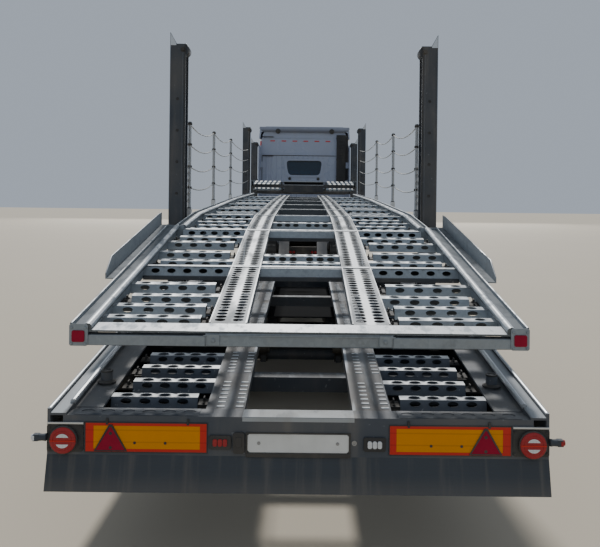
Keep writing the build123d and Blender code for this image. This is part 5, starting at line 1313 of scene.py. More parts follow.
class TRANSPORTER_OT_beams(Operator):
    """Beads, end plates, reflectors and brackets of the decks' side beams"""

    bl_idname = "transporter.beams"
    bl_label = "Side beams"

    def execute(self, context):
        upper, lips, front, lower, rims = shapes(5)
        upper.bead(UPPER, UPPER_REAR, UPPER_BREAK, UPPER_INNER - 0.0015, -0.01, 0.0225, 14)
        upper.bead(UPPER, UPPER_BREAK, UPPER_END, MAIN_INNER + 0.0005, -0.01, 0.021, 14)
        lips.bead(UPPER, UPPER_REAR, UPPER_BREAK, 1.189, 0.007, 0.0065, 8)
        lips.bead(UPPER, UPPER_BREAK, UPPER_END, 1.106, 0.007, 0.0065, 8)
        # Edge of the wing outside the upper deck's rear
        wing = ((0.965, 0.018), (1.08, 0.098), (2.45, 0.098), (2.565, 0.098))
        lips.rod([UPPER.at(s, 1.271, lift) for s, lift in wing], 0.0042, 8)
        front.bead(FRONT, 10.35, 13.05, 1.057, -0.004, 0.0125)
        lower.bead(LOWER, 0.16, 12.85, 1.187, 0.004, 0.016)
        rims.bead(LOWER, 0.05, 12.85, 1.2665, 0.0165, 0.0082, 8)
        upper.pair("upper_inner_beads", "bead_zinc", "upper_deck")
        lips.pair("upper_lip_beads", "bead_zinc", "upper_deck")
        front.pair("front_inner_beads", "bead_zinc", "front_deck")
        lower.pair("lower_inner_beads", "galvanised", "trailer")
        rims.pair("lower_lip_beads", "galvanised", "trailer")
        self.upper_ends(REAR + UPPER_REAR, UPPER.height(UPPER_REAR))
        self.outer_brackets()
        return {"FINISHED"}

    def upper_ends(self, y, z):
        """End plates with their bolts and reflectors, and clips on the rear channel."""
        ends, marks, clips = shapes(3)
        ends.slab(1.1, 1.197, z - 0.107, z + 0.008, y, 0.006, 0.008)
        for x in (1.112, 1.184):
            for drop in (0.012, 0.095):
                ends.bolt((x, y - 0.006, z - drop), BACK, 0.006, 0.005)
        marks.slab(1.116, 1.182, z - 0.086, z - 0.026, y - 0.006, 0.007, 0.006)
        clips.slab(0.415, 0.48, z - 0.098, z - 0.04, y, 0.008, 0.004)
        clips.bolt((0.4475, y - 0.008, z - 0.07), BACK, 0.009, 0.008)
        clips.box((-0.5, y - 0.004, z - 0.052), (0.5, y, z - 0.044))
        ends.pair("upper_end_plates", "dull_zinc", "upper_deck", bevel=0.001)
        marks.pair("upper_reflectors", "triangle_red", "upper_deck", bevel=0.002)
        clips.pair("upper_rear_clips", "dull_zinc", "upper_deck", bevel=0.001)

    def outer_brackets(self):
        """Bracket plates and lashing eyes along the beams' outer faces."""
        upper, lower = shapes(2)
        for s in (0.45, 2.75, 3.85, 4.45, 5.5, 6.2, 7.4, 8.1, 8.9, 9.6):
            p = UPPER.at(s, UPPER_OUTER if s < UPPER_BREAK else MAIN_OUTER, -0.06)
            upper.box(p - Vector((0.0, 0.035, 0.03)), p + Vector((0.006, 0.035, 0.03)))
            for along in (-0.02, 0.02):
                upper.bolt(p + Vector((0.006, along, 0.0)), RIGHT, 0.009, 0.008)
        for s in (0.6, 1.1, 1.9, 2.5, 5.7, 6.6, 7.3, 8.0, 8.7, 9.3, 10.6, 11.4, 12.4):
            p = LOWER.at(s, HALF_WIDTH - 0.0155, -0.095)
            ring = circle(p, AHEAD, UP, 0.022, 14)
            lower.rod(ring + ring[:1], 0.005, 8, caps=False)
            lower.box(p + Vector((-0.0005, -0.008, 0.016)), p + Vector((0.006, 0.008, 0.034)))
        upper.pair("upper_side_plates", "galvanised", "upper_deck", bevel=0.0012)
        lower.pair("lashing_eyes", "forged_steel", "trailer")


class TRANSPORTER_OT_columns(Operator):
    """Fins, edge flanges, pulleys and pins of the columns, and the posts with their ropes and chain"""

    bl_idname = "transporter.columns"
    bl_label = "Columns and ropes"

    # Last post, at the front columns, and the heights of the ropes over the deck
    last_post = 9.86
    rope_heights = (0.905, 0.7, 0.48, 0.27)

    def execute(self, context):
        pale, flanges, dark, steel = shapes(4)
        inner = HALF_WIDTH - COLUMN_WIDTH
        for station, depth, top in COLUMNS:
            y = REAR + station
            foot = LOWER.height(station + depth) + 0.05
            fin = ((0.004, -0.015), (0.004, 0.098), (0.058, 0.0), (0.058, -0.015))
            for ahead in (0.014, 0.0):
                pale.prism([(HALF_WIDTH - x, y + ahead, top + z) for x, z in fin], BACK * 0.0015)
            flanges.box((HALF_WIDTH - 0.012, y - 0.003, foot), (HALF_WIDTH - 0.001, y, top - 0.02))
            flanges.box((inner + 0.022, y - 0.003, foot), (inner + 0.034, y, top - 0.03))
            dark.box((inner, y - 0.006, foot), (inner + 0.01, y, top - 0.01))
            pitch = 0.3
            rows = [foot + 0.25 + pitch * k for k in range(int((top - foot - 0.4) / pitch))]
            boss = [(0.0, 0.0), (0.0, 0.014), (0.003, 0.014), (0.003, 0.009), (0.001, 0.008), (0.001, 0.0)]
            for z in rows:
                dark.lathe(boss, (inner + 0.075, y, z), BACK, 16)
            for z in rows[::2]:
                for side in (0.03, depth - 0.03):
                    dark.lathe([(0.0, 0.0), (0.0, 0.012), (-0.002, 0.01), (-0.002, 0.0)],
                               (HALF_WIDTH - 0.0005, y + side, z), RIGHT, 14)
            hub_x, hub_z = inner + 0.0275, top - 0.055
            steel.lathe([
                (0.016, 0.052), (0.03, 0.057), (0.036, 0.05), (0.05, 0.05),
                (0.056, 0.057), (0.062, 0.052), (0.062, 0.02), (0.016, 0.02),
            ], (hub_x, y, hub_z), AHEAD, 32)
            steel.bolt((hub_x, y - 0.001, hub_z), BACK, 0.016, 0.012)
            pale.box((inner - 0.004, y + 0.02, top - 0.001),
                     (HALF_WIDTH - 0.07, y + depth - 0.02, top + 0.006))
        pale.pair("column_edges", "galvanised", "trailer", bevel=0.0008)
        flanges.pair("column_flanges", "beam_paint", "trailer", bevel=0.0008)
        dark.pair("column_bosses", "black_plastic", "trailer")
        steel.pair("column_pulleys", "forged_steel", "trailer")
        self.posts()
        self.ropes(context.scene.transporter_decks)
        self.chain()
        return {"FINISHED"}

    def posts(self):
        """Posts with their caps and collars, and the last post on its bracket."""
        posts = Shape()

        def tube(station, foot, top, radius, sides=16):
            y, z = REAR + station, UPPER.height(station)
            posts.rod([(POST_X, y, z + foot), (POST_X, y, z + top)], radius, sides)

        for s in POSTS:
            tube(s, 0.04, POST_HEIGHT - 0.012, 0.0172)
            tube(s, POST_HEIGHT - 0.014, POST_HEIGHT, [0.021, 0.015])
            tube(s, 0.055, 0.07, 0.0235)
        tube(self.last_post, -0.06, 1.08, 0.012, 12)
        y, z = REAR + self.last_post, UPPER.height(self.last_post)
        posts.box((MAIN_OUTER + 0.0004, y - 0.03, z - 0.09), (POST_X + 0.02, y + 0.03, z - 0.01))
        posts.pair("posts_drawn", "chassis_paint", "upper_deck")

    def ropes(self, decks):
        """Ropes that sag between the posts, and the clamps that hold them."""
        ropes, knots = shapes(2)
        stations = (*POSTS, self.last_post)
        clamp = [(-0.011, 0.0175), (-0.011, 0.022), (0.0, 0.0255), (0.011, 0.022), (0.011, 0.0175)]
        for height in self.rope_heights:
            sag = decks.rope_sag * (0.6 + 0.5 * height)
            for s0, s1 in pairwise(stations):
                z0, z1 = UPPER.height(s0) + height, UPPER.height(s1) + height
                ropes.rod([(POST_X, REAR + s0 + (s1 - s0) * t, z0 + (z1 - z0) * t - 4 * sag * t * (1 - t))
                           for t in spread(0.0, 1.0, 16)], decks.rope, 8)
            for s in stations:
                knots.lathe(clamp, (POST_X, REAR + s, UPPER.height(s) + height), UP, 16)
        ropes.pair("guard_ropes", "wire_rope", "upper_deck")
        knots.pair("rope_clamps", "forged_steel", "upper_deck")

    def chain(self):
        """Chain that hangs along the first post, each link turned from the last."""
        chain = Shape()
        s = POSTS[0]
        for k in range(13):
            z = UPPER.height(s) + 0.1 + 0.034 * k
            wide, deep = (0.011, 0.0) if k % 2 else (0.0, 0.011)
            chain.rod([(POST_X + wide * cos(t), REAR + s - 0.032 + deep * cos(t), z + 0.021 * sin(t))
                       for t in spread(0.0, 2 * pi, 12)], 0.0038, 6, caps=False)
        chain.pair("post_chains", "rim_metal", "upper_deck")


class TRANSPORTER_OT_wheels(Operator):
    """Tyres with tread, rims with hand holes, nuts and hubs"""

    bl_idname = "transporter.wheels"
    bl_label = "Wheels"

    # Name, station, radius, inner faces of the tyres, width, rim's radius, disc's face, ribs of the tread
    rows = (
        ("trailer_wheel_rear", 3.4, 0.4, (0.725, 1.01), 0.24, 0.225, 0.95, 5),
        ("trailer_wheel_front", 4.75, 0.4, (0.725, 1.01), 0.24, 0.225, 0.95, 5),
        ("drive_wheel", 11.4, 0.476, (0.605, 0.95), 0.3, 0.29, 0.92, 3),
        ("front_wheel", 15.08, 0.476, (0.95,), 0.3, 0.29, 1.17, 5),
    )

    def execute(self, context):
        wheels = context.scene.transporter_wheels
        for name, station, radius, tyres, width, rim, face, ribs in self.rows:
            centre = Vector((0.0, REAR + station, radius))
            rubber, metal, nuts = shapes(3)
            for inner in tyres:
                self.tyre(rubber, centre, inner, width, radius, rim, ribs, wheels)
                self.well(metal, centre, inner + 0.014, inner + width - 0.014, rim)
            self.disc(metal, centre, rim, face, len(tyres) == 1)
            self.hub(nuts, centre, face, wheels.nuts)
            for side in ("right", "left"):
                node = name + "_" + side
                if side == "left":
                    for shape in (rubber, metal, nuts):
                        shape.points = [Vector((-p.x, p.y, p.z)) for p in shape.points]
                rubber.piece(node + "_tyres", "tyre_rubber", node, (node,), weld=False, sharp=28.0)
                metal.piece(node + "_rims", "rim_metal", node, (node,))
                nuts.piece(node + "_nuts", "forged_steel", node, (node,))
        return {"FINISHED"}

    def tyre(self, shape, centre, inner, width, radius, rim, ribs, wheels):
        """Tyre with ribs between round grooves, and slots across its shoulders."""
        g = wheels.groove
        side = [(0.06, rim - 0.004), (0.045, rim + 0.012), (0.015, rim + (radius - rim) * 0.3),
                (0.0, (rim + radius) / 2), (0.012, radius - 0.045), (0.05, radius - 0.016),
                (0.1, radius - 0.004), (0.14, radius)]
        slot = ((-0.018, radius), (-0.012, radius - g), (0.012, radius - g), (0.018, radius))
        crown = []
        for k in range(1, ribs):
            c = 0.14 + 0.72 * k / ribs
            crown += [(c + across, r) for across, r in slot]
        profile = side + crown + [(1.0 - a, r) for a, r in reversed(side)]
        blocks = wheels.segments * 3 // 8
        count, last = len(side), len(profile) - 1
        rings = []
        for block in range(blocks):
            for part, cut in ((0.0, False), (0.035, True), (0.2, True), (0.235, False)):
                t = 2 * pi * (block + part) / blocks
                ring = []
                for k, (across, r) in enumerate(profile):
                    shoulder = count - 3 <= min(k, last - k) <= count
                    if cut and r > radius - 0.02 and (shoulder or ribs < 4):
                        r -= g * 0.8
                    ring.append(centre + Vector((inner + across * width, r * cos(t), r * sin(t))))
                rings.append(ring)
        for ring, other in zip(rings, rings[1:] + rings[:1]):
            for k in range(last):
                shape.face(ring[k], ring[k + 1], other[k + 1], other[k])

    def well(self, shape, centre, a, b, rim):
        """Rim's well between its two flanges."""
        shape.lathe([
            (a, rim + 0.008), (a + 0.012, rim - 0.002), (a + 0.05, rim - 0.012), (b - 0.05, rim - 0.012),
            (b - 0.012, rim - 0.002), (b, rim + 0.008), (b, rim - 0.006), (b - 0.016, rim - 0.014),
            (b - 0.055, rim - 0.024), (a + 0.055, rim - 0.024), (a + 0.016, rim - 0.014), (a, rim - 0.006),
        ], centre, RIGHT, 48)

    def disc(self, shape, centre, rim, face, single):
        """Dished disc with hand holes, and its ring under the nuts."""
        start = 0.105
        sections = [start, *((0.15, 0.193) if rim < 0.25 else (0.185, 0.245)), rim - 0.018]
        proud, way = (0.012, 1) if single else (0.0, -1)

        def place(u, v, w):
            bulge = proud + 0.05 * sin(pi * (v - start) / (rim - 0.018 - start)) * way
            return centre + Vector((face + bulge + w, v * cos(u), v * sin(u)))

        hand = (0.048 / (sections[1] + sections[2]), (sections[2] - sections[1]) * 0.38)
        shape.sheet(place, spread(0.0, 2 * pi, 10), sections, 0.012, lambda i, j: hand if j == 1 else None)
        shape.lathe([(face - 0.012, 0.06), (face + 0.004, 0.06), (face + 0.006, 0.15), (face - 0.006, 0.16),
                     (face - 0.012, 0.15)], centre, RIGHT, 40)

    def hub(self, shape, centre, face, count):
        """Hub with its cap, and the nuts round it."""
        end = 1.238
        shape.lathe([
            (face - 0.09, 0.0455), (face - 0.09, 0.094), (face + 0.03, 0.09), (face + 0.034, 0.075),
            (end - 0.02, 0.066), (end - 0.014, 0.07), (end - 0.004, 0.062), (end, 0.045), (end, 0.0),
            (end - 0.033, 0.0), (end - 0.033, 0.0455),
        ], centre, RIGHT, 36)
        for k in range(count):
            t = 2 * pi * (k + 0.5) / count
            shape.bolt(centre + Vector((face + 0.005, 0.118 * cos(t), 0.118 * sin(t))), RIGHT, 0.015, 0.026)


class TRANSPORTER_OT_front_deck(Operator):
    """Perforated tracks, rungs, cross tubes and rear end of the short front deck"""

    bl_idname = "transporter.front_deck"
    bl_label = "Front deck"

    def execute(self, context):
        decks = context.scene.transporter_decks
        tracks, rungs, tubes = shapes(3)
        start, end = 10.35, 13.05
        far = MAIN_INNER - SEAT_GAP
        track(tracks, FRONT, start, end, decks, 0.0)
        section = (RUNG[0], RUNG[1], TRACK_DEPTH, RUNG[3])
        for station in FRONT_RUNGS:
            hat(rungs, FRONT, station, TRACK_DROP, TRACK_OUTER + SEAT_GAP, far, section, 4, decks.rung_oval)
        for bar in FRONT_BARS:
            cross_tube(tubes, FRONT, bar + 0.03, TRACK_DROP + TRACK_DEPTH + SEAT_GAP, 0.06, 0.06, far)
        self.rear_face(REAR + start)
        tracks.pair("front_tracks_sheet", "track_zinc", "front_deck", ("front_deck_tracks",))
        rungs.pair("front_rungs_pressed", "worn_rung", "front_deck", ("front_deck_rungs",))
        tubes.pair("front_cross_tubes", "tractor_paint", "front_deck", ("front_deck_rungs",), 0.003)
        return {"FINISHED"}

    def rear_face(self, y):
        """Two rows of bright slats, and the end plate between them."""
        slats, plate, strip, lines = shapes(4)
        wide, outer = 0.052, 0.41
        rows = ((2.29, 2.366, 0.045, -0.06, 0.15), (2.168, 2.216, 0.0, -0.05, 0.1))
        for k in range(6):
            x = 0.535 + 0.096 * k
            for z0, z1, lean, near, far in rows:
                slats.prism([(x, y + near, z0), (x + wide, y + near, z0), (x + wide - lean, y + far, z1),
                             (x - lean, y + far, z1)], (0.0, 0.002, -0.006))
        plate.box((0.0, y - 0.012, 2.125), (outer, y - 0.0005, 2.273))
        # Dark strip in the shallow recess of the end plate: painted shade.
        strip.box((0.0, y - 0.01, 2.273), (outer, y - 0.0005, 2.345))
        for z in (2.278, 2.348):
            lines.box((0.0, y - 0.016, z - 0.006), (outer + 0.01, y - 0.0005, z + 0.006))
        slats.pair("front_slats", "worn_edge", "front_deck")
        plate.pair("front_end_plate", "tractor_paint", "front_deck", bevel=0.002)
        strip.pair("front_end_recess", "underside", "front_deck", bevel=0.001)
        lines.pair("front_end_lips", "worn_edge", "front_deck", bevel=0.001)


CAB_BACK_Y = REAR + 14.2
CAB_FRONTS = [(1.09, 16.44), (1.9, 16.49), (2.9, 16.26), (3.45, 15.9), (3.72, 15.35), (3.82, 14.9)]


def on_front(x, z, proud):
    """Point on the cab's front at a height, or proud of it."""
    y = REAR + CAB_FRONTS[-1][1]
    for (z0, s0), (z1, s1) in pairwise(CAB_FRONTS):
        if z <= z1:
            y = REAR + s0 + (s1 - s0) * (z - z0) / (z1 - z0)
            break
    return Vector((x, y + proud, z))


def front_edges(half, z0, z1):
    """Rectangle that follows the cab's front."""
    return [on_front(x, z, 0.0) for x, z in ((-half, z0), (half, z0), (half, z1), (-half, z1))]


def soften(points, radius):
    """Outline with each corner turned into a short arc."""
    points, out = [Vector(p) for p in points], []
    for k, p in enumerate(points):
        a = p + (points[k - 1] - p).normalized() * radius
        b = p + (points[(k + 1) % len(points)] - p).normalized() * radius
        out += [a.lerp(p, t).lerp(p.lerp(b, t), t) for t in (0.0, 0.25, 0.5, 0.75, 1.0)]
    return out


class TRANSPORTER_OT_cab_back(Operator):
    """Ribs, window seal, reflectors, handles and ledges of the cab's rear wall"""

    bl_idname = "transporter.cab_back"
    bl_label = "Cab back"

    def execute(self, context):
        self.window(CAB_BACK_Y)
        self.fittings(CAB_BACK_Y)
        self.intake(CAB_BACK_Y)
        self.roof(CAB_BACK_Y)
        return {"FINISHED"}

    def window(self, y):
        """Pressed ribs and ledges, the window's pressing and seal, the dark fittings round it, and a black
        strip of painted shadow under the ledge.
        """
        ribs, dark = shapes(2)
        for k in range(13):
            x = -1.02 + 0.14 * k
            spans = ((1.25, 2.48), (3.08, 3.14)) if abs(x) < 0.56 else ((1.25, 3.14),)
            section = ((-0.022, 0.0), (-0.012, 0.009), (0.012, 0.009), (0.022, 0.0))
            for ends in spans:
                ribs.loft([[(x + a, y - b, z) for a, b in section] for z in ends])
        ribs.slab(-1.14, 0.8, 3.165, 3.192, y, 0.022)
        ribs.slab(-1.1, 0.8, 3.62, 3.634, y, 0.01)

        def pane(top, foot, z1, z0, radius):
            return soften([(-top, y, z1), (-foot, y, z0), (foot, y, z0), (top, y, z1)], radius)

        def stretched(ring, across, up):
            middle = 2.815
            return [(x * across, y - 0.012, middle + (z - middle) * up) for x, _, z in ring]

        outer, inner = pane(0.522, 0.462, 3.032, 2.598, 0.02), pane(0.478, 0.428, 2.998, 2.632, 0.075)
        dark.rim(outer, inner, BACK * 0.012)
        dark.rim(stretched(outer, 0.985, 0.97), stretched(inner, 1.01, 1.02), BACK * 0.006)
        domes = ((-0.717, 3.81, 0.058, 0.068), (0.74, 3.81, 0.058, 0.068),
                 (-0.39, 2.527, 0.0, 0.04), (0.383, 2.527, 0.0, 0.04))
        for x, z, back, r in domes:
            profile = [(0.0, 0.0), (0.0, r), (0.012, r), (0.018, r * 0.6), (0.03, r * 0.6),
                       (0.034, r * 0.4), (0.034, 0.0)]
            dark.lathe(profile, (x, y - back, z), BACK, 20)
        # Black strip just under the ledge: painted shadow of the ledge.
        dark.box((-1.12, y - 0.004, 3.146), (0.87, y, 3.16))
        dark.box((-1.155, y - 0.004, 2.45), (-1.137, y, 3.12))
        ribs.rim(pane(0.56, 0.5, 3.07, 2.575, 0.09), pane(0.487, 0.427, 3.018, 2.622, 0.11), BACK * 0.021)
        ribs.piece("cab_back_ribs", "cab_paint", "cab", bevel=0.002)
        dark.piece("rear_window_seal", "black_plastic", "cab", bevel=0.002)

    def fittings(self, y):
        """Handles and reflectors."""
        bars, red = shapes(2)
        for z in (3.655, 3.14):
            path = ((-1.14, 0.002), (-1.14, 0.038), (-0.85, 0.038), (-0.85, 0.002))
            bars.rod([(x, y - back, z) for x, back in path], 0.013, 10)
        for x in (-0.863, -0.558, -0.258, 0.04, 0.34, 0.639):
            red.slab(x - 0.065, x + 0.065, 3.535, 3.562, y, 0.005, 0.005)
        red.slab(-1.2, -1.168, 3.42, 3.54, y, 0.014, 0.006)
        bars.piece("cab_back_handles", "black_plastic", "cab")
        red.piece("cab_back_reflectors", "marker_red", "cab", bevel=0.001)

    def intake(self, y):
        """Louvres and bands of the air intake, and a black strip of painted shadow beside it."""
        blades = Shape()
        for k in range(6):
            z = 3.52 - 0.09 * k
            section = ((0.079, -0.022), (0.066, -0.022), (0.066, -0.014), (0.079, 0.012))
            blades.prism([(0.895, y - back, z + up) for back, up in section], RIGHT * 0.2)
        for z in (2.6, 3.05, 3.64):
            blades.box((0.868, y - 0.083, z - 0.012), (1.122, y - 0.001, z + 0.012))
        # Black strip between the intake and the side extender: painted shadow.
        blades.box((1.116, y - 0.02, 2.5), (1.19, y, 3.7))
        blades.piece("intake_louvres", "black_plastic", "cab", bevel=0.0015)

    def roof(self, y):
        """Rear edge of the roof fairing, and the wings at its sides."""
        edge, wings = shapes(2)
        half = [(0.0, 3.782), (0.74, 3.782), (0.9, 3.795), (1.1, 3.79),
                (1.19, 3.83), (1.225, 3.88), (1.21, 3.925), (0.0, 3.933)]
        edge.prism([(x, y - 0.06, z) for x, z in half], AHEAD * 0.035)
        outline = [(1.03, 3.9), (1.15, 3.885), (1.215, 3.83), (1.232, 3.6), (1.205, 3.6), (1.17, 3.78),
                   (1.03, 3.82)]
        rings = []
        for t in (0.0, 0.25, 0.5, 0.75, 1.0):
            slim = 1.0 - 0.16 * t * t
            rings.append([(x * slim, y - 0.045 + 1.2 * t, z - 0.3 * t * t * (z - 3.45)) for x, z in outline])
        wings.loft(rings)
        edge.pair("fairing_edge", "fairing_paint", "cab", bevel=0.002)
        wings.pair("roof_wings", "cab_paint", "cab", bevel=0.004)


class TRANSPORTER_OT_cab_front(Operator):
    """Seals, wipers, visor, grille frame, lamps, mirrors, door fittings and steps"""

    bl_idname = "transporter.cab_front"
    bl_label = "Cab front and sides"

    def execute(self, context):
        self.screen()
        self.grille()
        self.headlamps(REAR + 16.496)
        self.mirrors(REAR + 16.12)
        self.door("right", 1.0)
        self.door("left", -1.0)
        self.steps(REAR + 15.8)
        return {"FINISHED"}

    def screen(self):
        """Windscreen's seal and wipers, sun visor and roof lamps."""
        seal, wipers, lamps, visor = shapes(4)
        seal.rim(front_edges(0.998, 1.955, 2.868), front_edges(0.962, 1.995, 2.826), AHEAD * 0.007)
        lean = 0.5
        for x in (-0.62, 0.3):
            arm = [on_front(x, 1.972, 0.012), on_front(x + 0.02, 2.0, 0.022), on_front(x + lean, 2.2, 0.018)]
            wipers.rod(arm, [0.011, 0.008, 0.006], 8)
            blade = [on_front(x + lean - 0.3, 2.045, 0.008), on_front(x + lean + 0.26, 2.34, 0.008)]
            wipers.rod(blade, 0.0065, 8)
            wipers.lathe([(0.0, 0.0), (0.0, 0.024), (0.014, 0.022), (0.018, 0.012), (0.018, 0.0)],
                         on_front(x, 1.972, 0.002), AHEAD, 18)
        rows = [(2.87, 0.002), (2.885, 0.075), (2.905, 0.1), (2.975, 0.075), (2.985, 0.002)]
        pulls = ((-0.99, 0.35), (-0.9, 0.8), (-0.5, 1.0), (0.0, 1.04), (0.5, 1.0), (0.9, 0.8), (0.99, 0.35))
        visor.loft([[on_front(x, z, proud * pull) for z, proud in rows] for x, pull in pulls])
        for x in (-0.8, -0.4, 0.0, 0.4, 0.8):
            lamps.lathe([(-0.02, 0.0), (-0.02, 0.034), (0.006, 0.032), (0.018, 0.02), (0.022, 0.0)],
                        on_front(x, 3.53, 0.0), (0.0, 0.5, 0.87), 20)
        seal.piece("windscreen_seal", "black_plastic", "cab", bevel=0.002)
        wipers.piece("wipers", "black_plastic", "cab")
        visor.piece("sun_visor", "black_plastic", "cab", sharp=50.0)
        lamps.piece("roof_lamps", "lamp_amber", "cab")

    def grille(self):
        """Bright border and bars of the grille, and the mesh behind them."""
        border, wires = shapes(2)
        proud, half = 0.0115, 0.815
        border.rim(front_edges(0.85, 1.2, 1.868), front_edges(half, 1.235, 1.836), AHEAD * proud)
        for k in range(5):
            z = 1.274 + 0.122 * k
            section = ((-0.006, 0.004), (-0.006, proud), (0.006, proud), (0.006, 0.004))
            border.loft([[on_front(x, z + up, out) for up, out in section] for x in (-half, half)])
        for k in range(33):
            x = -0.8 + 0.05 * k
            wires.rod([on_front(x, 1.236, 0.0035), on_front(x, 1.83, 0.0035)], 0.0028, 6)
        border.piece("grille_border", "mirror_silver", "cab", bevel=0.0015)
        wires.piece("grille_mesh", "black_plastic", "cab")

    def headlamps(self, front):
        """Bowls, covers and indicators of the headlamps, and the bumper's mesh."""
        bowls, cover, rim, amber, mesh = shapes(5)
        lamp = x0, x1, z0, _ = 0.7405, 1.0345, 0.6905, 0.8795
        rim.prism(upright(*lamp, front - 0.07), AHEAD * 0.012)
        rim.rim(upright(*lamp, front - 0.07), upright(*inset(*lamp, 0.008), front - 0.07), AHEAD * 0.068)
        for x, r in ((0.812, 0.058), (0.945, 0.07)):
            bowls.lathe([(0.0, 0.012), (0.012, r * 0.5), (0.034, r * 0.86), (0.052, r), (0.055, r + 0.004),
                         (0.05, r + 0.006), (0.03, r * 0.9 + 0.006), (-0.002, r * 0.5)],
                        (x, front - 0.056, 0.796), AHEAD, 32)
            bowls.lathe([(0.0, 0.0), (0.0, 0.014), (0.03, 0.013), (0.036, 0.008), (0.036, 0.0)],
                        (x, front - 0.05, 0.796), AHEAD, 16)
        strip = upright(x0 + 0.014, x1 - 0.014, z0 + 0.012, z0 + 0.032, front - 0.02, 0.004)
        amber.prism(strip, AHEAD * 0.012)
        cover.prism(upright(*inset(*lamp, 0.008), front - 0.006, 0.01), AHEAD * 0.005)
        for k in range(23):
            x, y = -0.55 + 0.05 * k, front - 0.022
            mesh.rod([(x, y, 0.452), (x, y, 0.638)], 0.0035, 6)
        for k in range(5):
            y, z = front - 0.026, 0.47 + 0.0375 * k
            mesh.rod([(-0.558, y, z), (0.558, y, z)], 0.0035, 6)
        rim.pair("headlamp_housings", "black_plastic", "tractor", ("headlamps",), 0.001)
        bowls.pair("headlamp_bowls", "mirror_silver", "tractor", ("headlamps",))
        amber.pair("indicators", "lamp_amber", "tractor", ("headlamps",), 0.001)
        cover.pair("headlamp_covers", "window_glass", "tractor", ("headlamps",), 0.001)
        mesh.piece("bumper_mesh", "black_plastic", "tractor")

    def mirrors(self, y):
        """Glasses and frames of the main and the wide-angle mirrors."""
        glass, frames = shapes(2)
        for z0, z1 in ((2.13, 2.535), (1.985, 2.105)):
            pane = upright(1.318, 1.472, z0, z1, y, 0.018)
            glass.prism(pane, BACK * 0.002)
            frames.rim(upright(1.308, 1.482, z0 - 0.01, z1 + 0.01, y, 0.022), pane, BACK * 0.005)
        glass.pair("mirror_glasses", "mirror_silver", "cab")
        frames.pair("mirror_frames", "black_plastic", "cab", bevel=0.001)

    def door(self, name, side):
        """Window seal, sill strip, handle and lock of a door."""
        seal, cup, bar = shapes(3)

        def on_door(x, outline, s0, z0, along, up):
            return [(side * x, REAR + s0 + (s - s0) * along, z0 + (z - z0) * up) for s, z in outline]

        window = [(15.23, 1.99), (15.985, 1.99), (15.835, 2.745), (15.23, 2.745)]
        seal.rim(on_door(1.2475, window, 15.57, 2.36, 1.09, 1.08),
                 on_door(1.2475, window, 15.57, 2.36, 0.975, 0.975), RIGHT * (0.006 * side))
        hand = [(15.25, 1.755), (15.43, 1.755), (15.445, 1.8),
                (15.43, 1.845), (15.25, 1.845), (15.235, 1.8)]
        cup.rim(on_door(1.2465, hand, 15.34, 1.8, 1.0, 1.0), on_door(1.2465, hand, 15.34, 1.8, 0.86, 0.72),
                RIGHT * (0.006 * side))
        cup.prism(on_door(1.2475, hand, 15.34, 1.8, 0.86, 0.72), RIGHT * (0.002 * side))
        grip = ((1.25, 15.27), (1.262, 15.28), (1.262, 15.4), (1.25, 15.41))
        bar.rod([(side * x, REAR + s, 1.81) for x, s in grip], 0.008, 8)
        bar.lathe([(0.0, 0.0), (0.0, 0.012), (0.003, 0.011), (0.003, 0.0)],
                  (side * 1.2495, REAR + 15.34, 1.72), RIGHT * side, 18)
        x0, x1 = sorted((side * 1.235, side * 1.249))
        seal.box((x0, REAR + 15.16, 1.49), (x1, REAR + 16.04, 1.505))
        seal.piece("door_seal_" + name, "black_plastic", "door_" + name, bevel=0.001)
        cup.piece("door_handle_cup_" + name, "black_plastic", "door_" + name, bevel=0.001)
        bar.piece("door_handle_" + name, "mirror_silver", "door_" + name)

    def steps(self, y):
        """Two steps under each door, with their treads."""
        steps, plates = shapes(2)
        for z in (0.44, 0.72):
            corners = ((y, z), (y + 0.36, z), (y + 0.36, z + 0.16), (y, z + 0.16))
            steps.prism([(1.236, *corner) for corner in corners], RIGHT * 0.0065)
            for k in range(9):
                tread = y + 0.025 + 0.038 * k
                plates.box((1.2425, tread, z + 0.012), (1.2465, tread + 0.014, z + 0.05))
        steps.pair("cab_steps", "black_plastic", "tractor", bevel=0.002)
        plates.pair("step_treads", "tank_metal", "tractor", bevel=0.001)


def rounded(x0, x1, z0, z1, radius, y):
    """Rounded rectangle across the lorry."""
    corners = ((x1 - radius, z1 - radius, 0), (x0 + radius, z1 - radius, 90),
               (x0 + radius, z0 + radius, 180), (x1 - radius, z0 + radius, 270))
    return [Vector(p) for x, z, start in corners for p in arc(x, z, radius, y, 5, start, start + 90)]


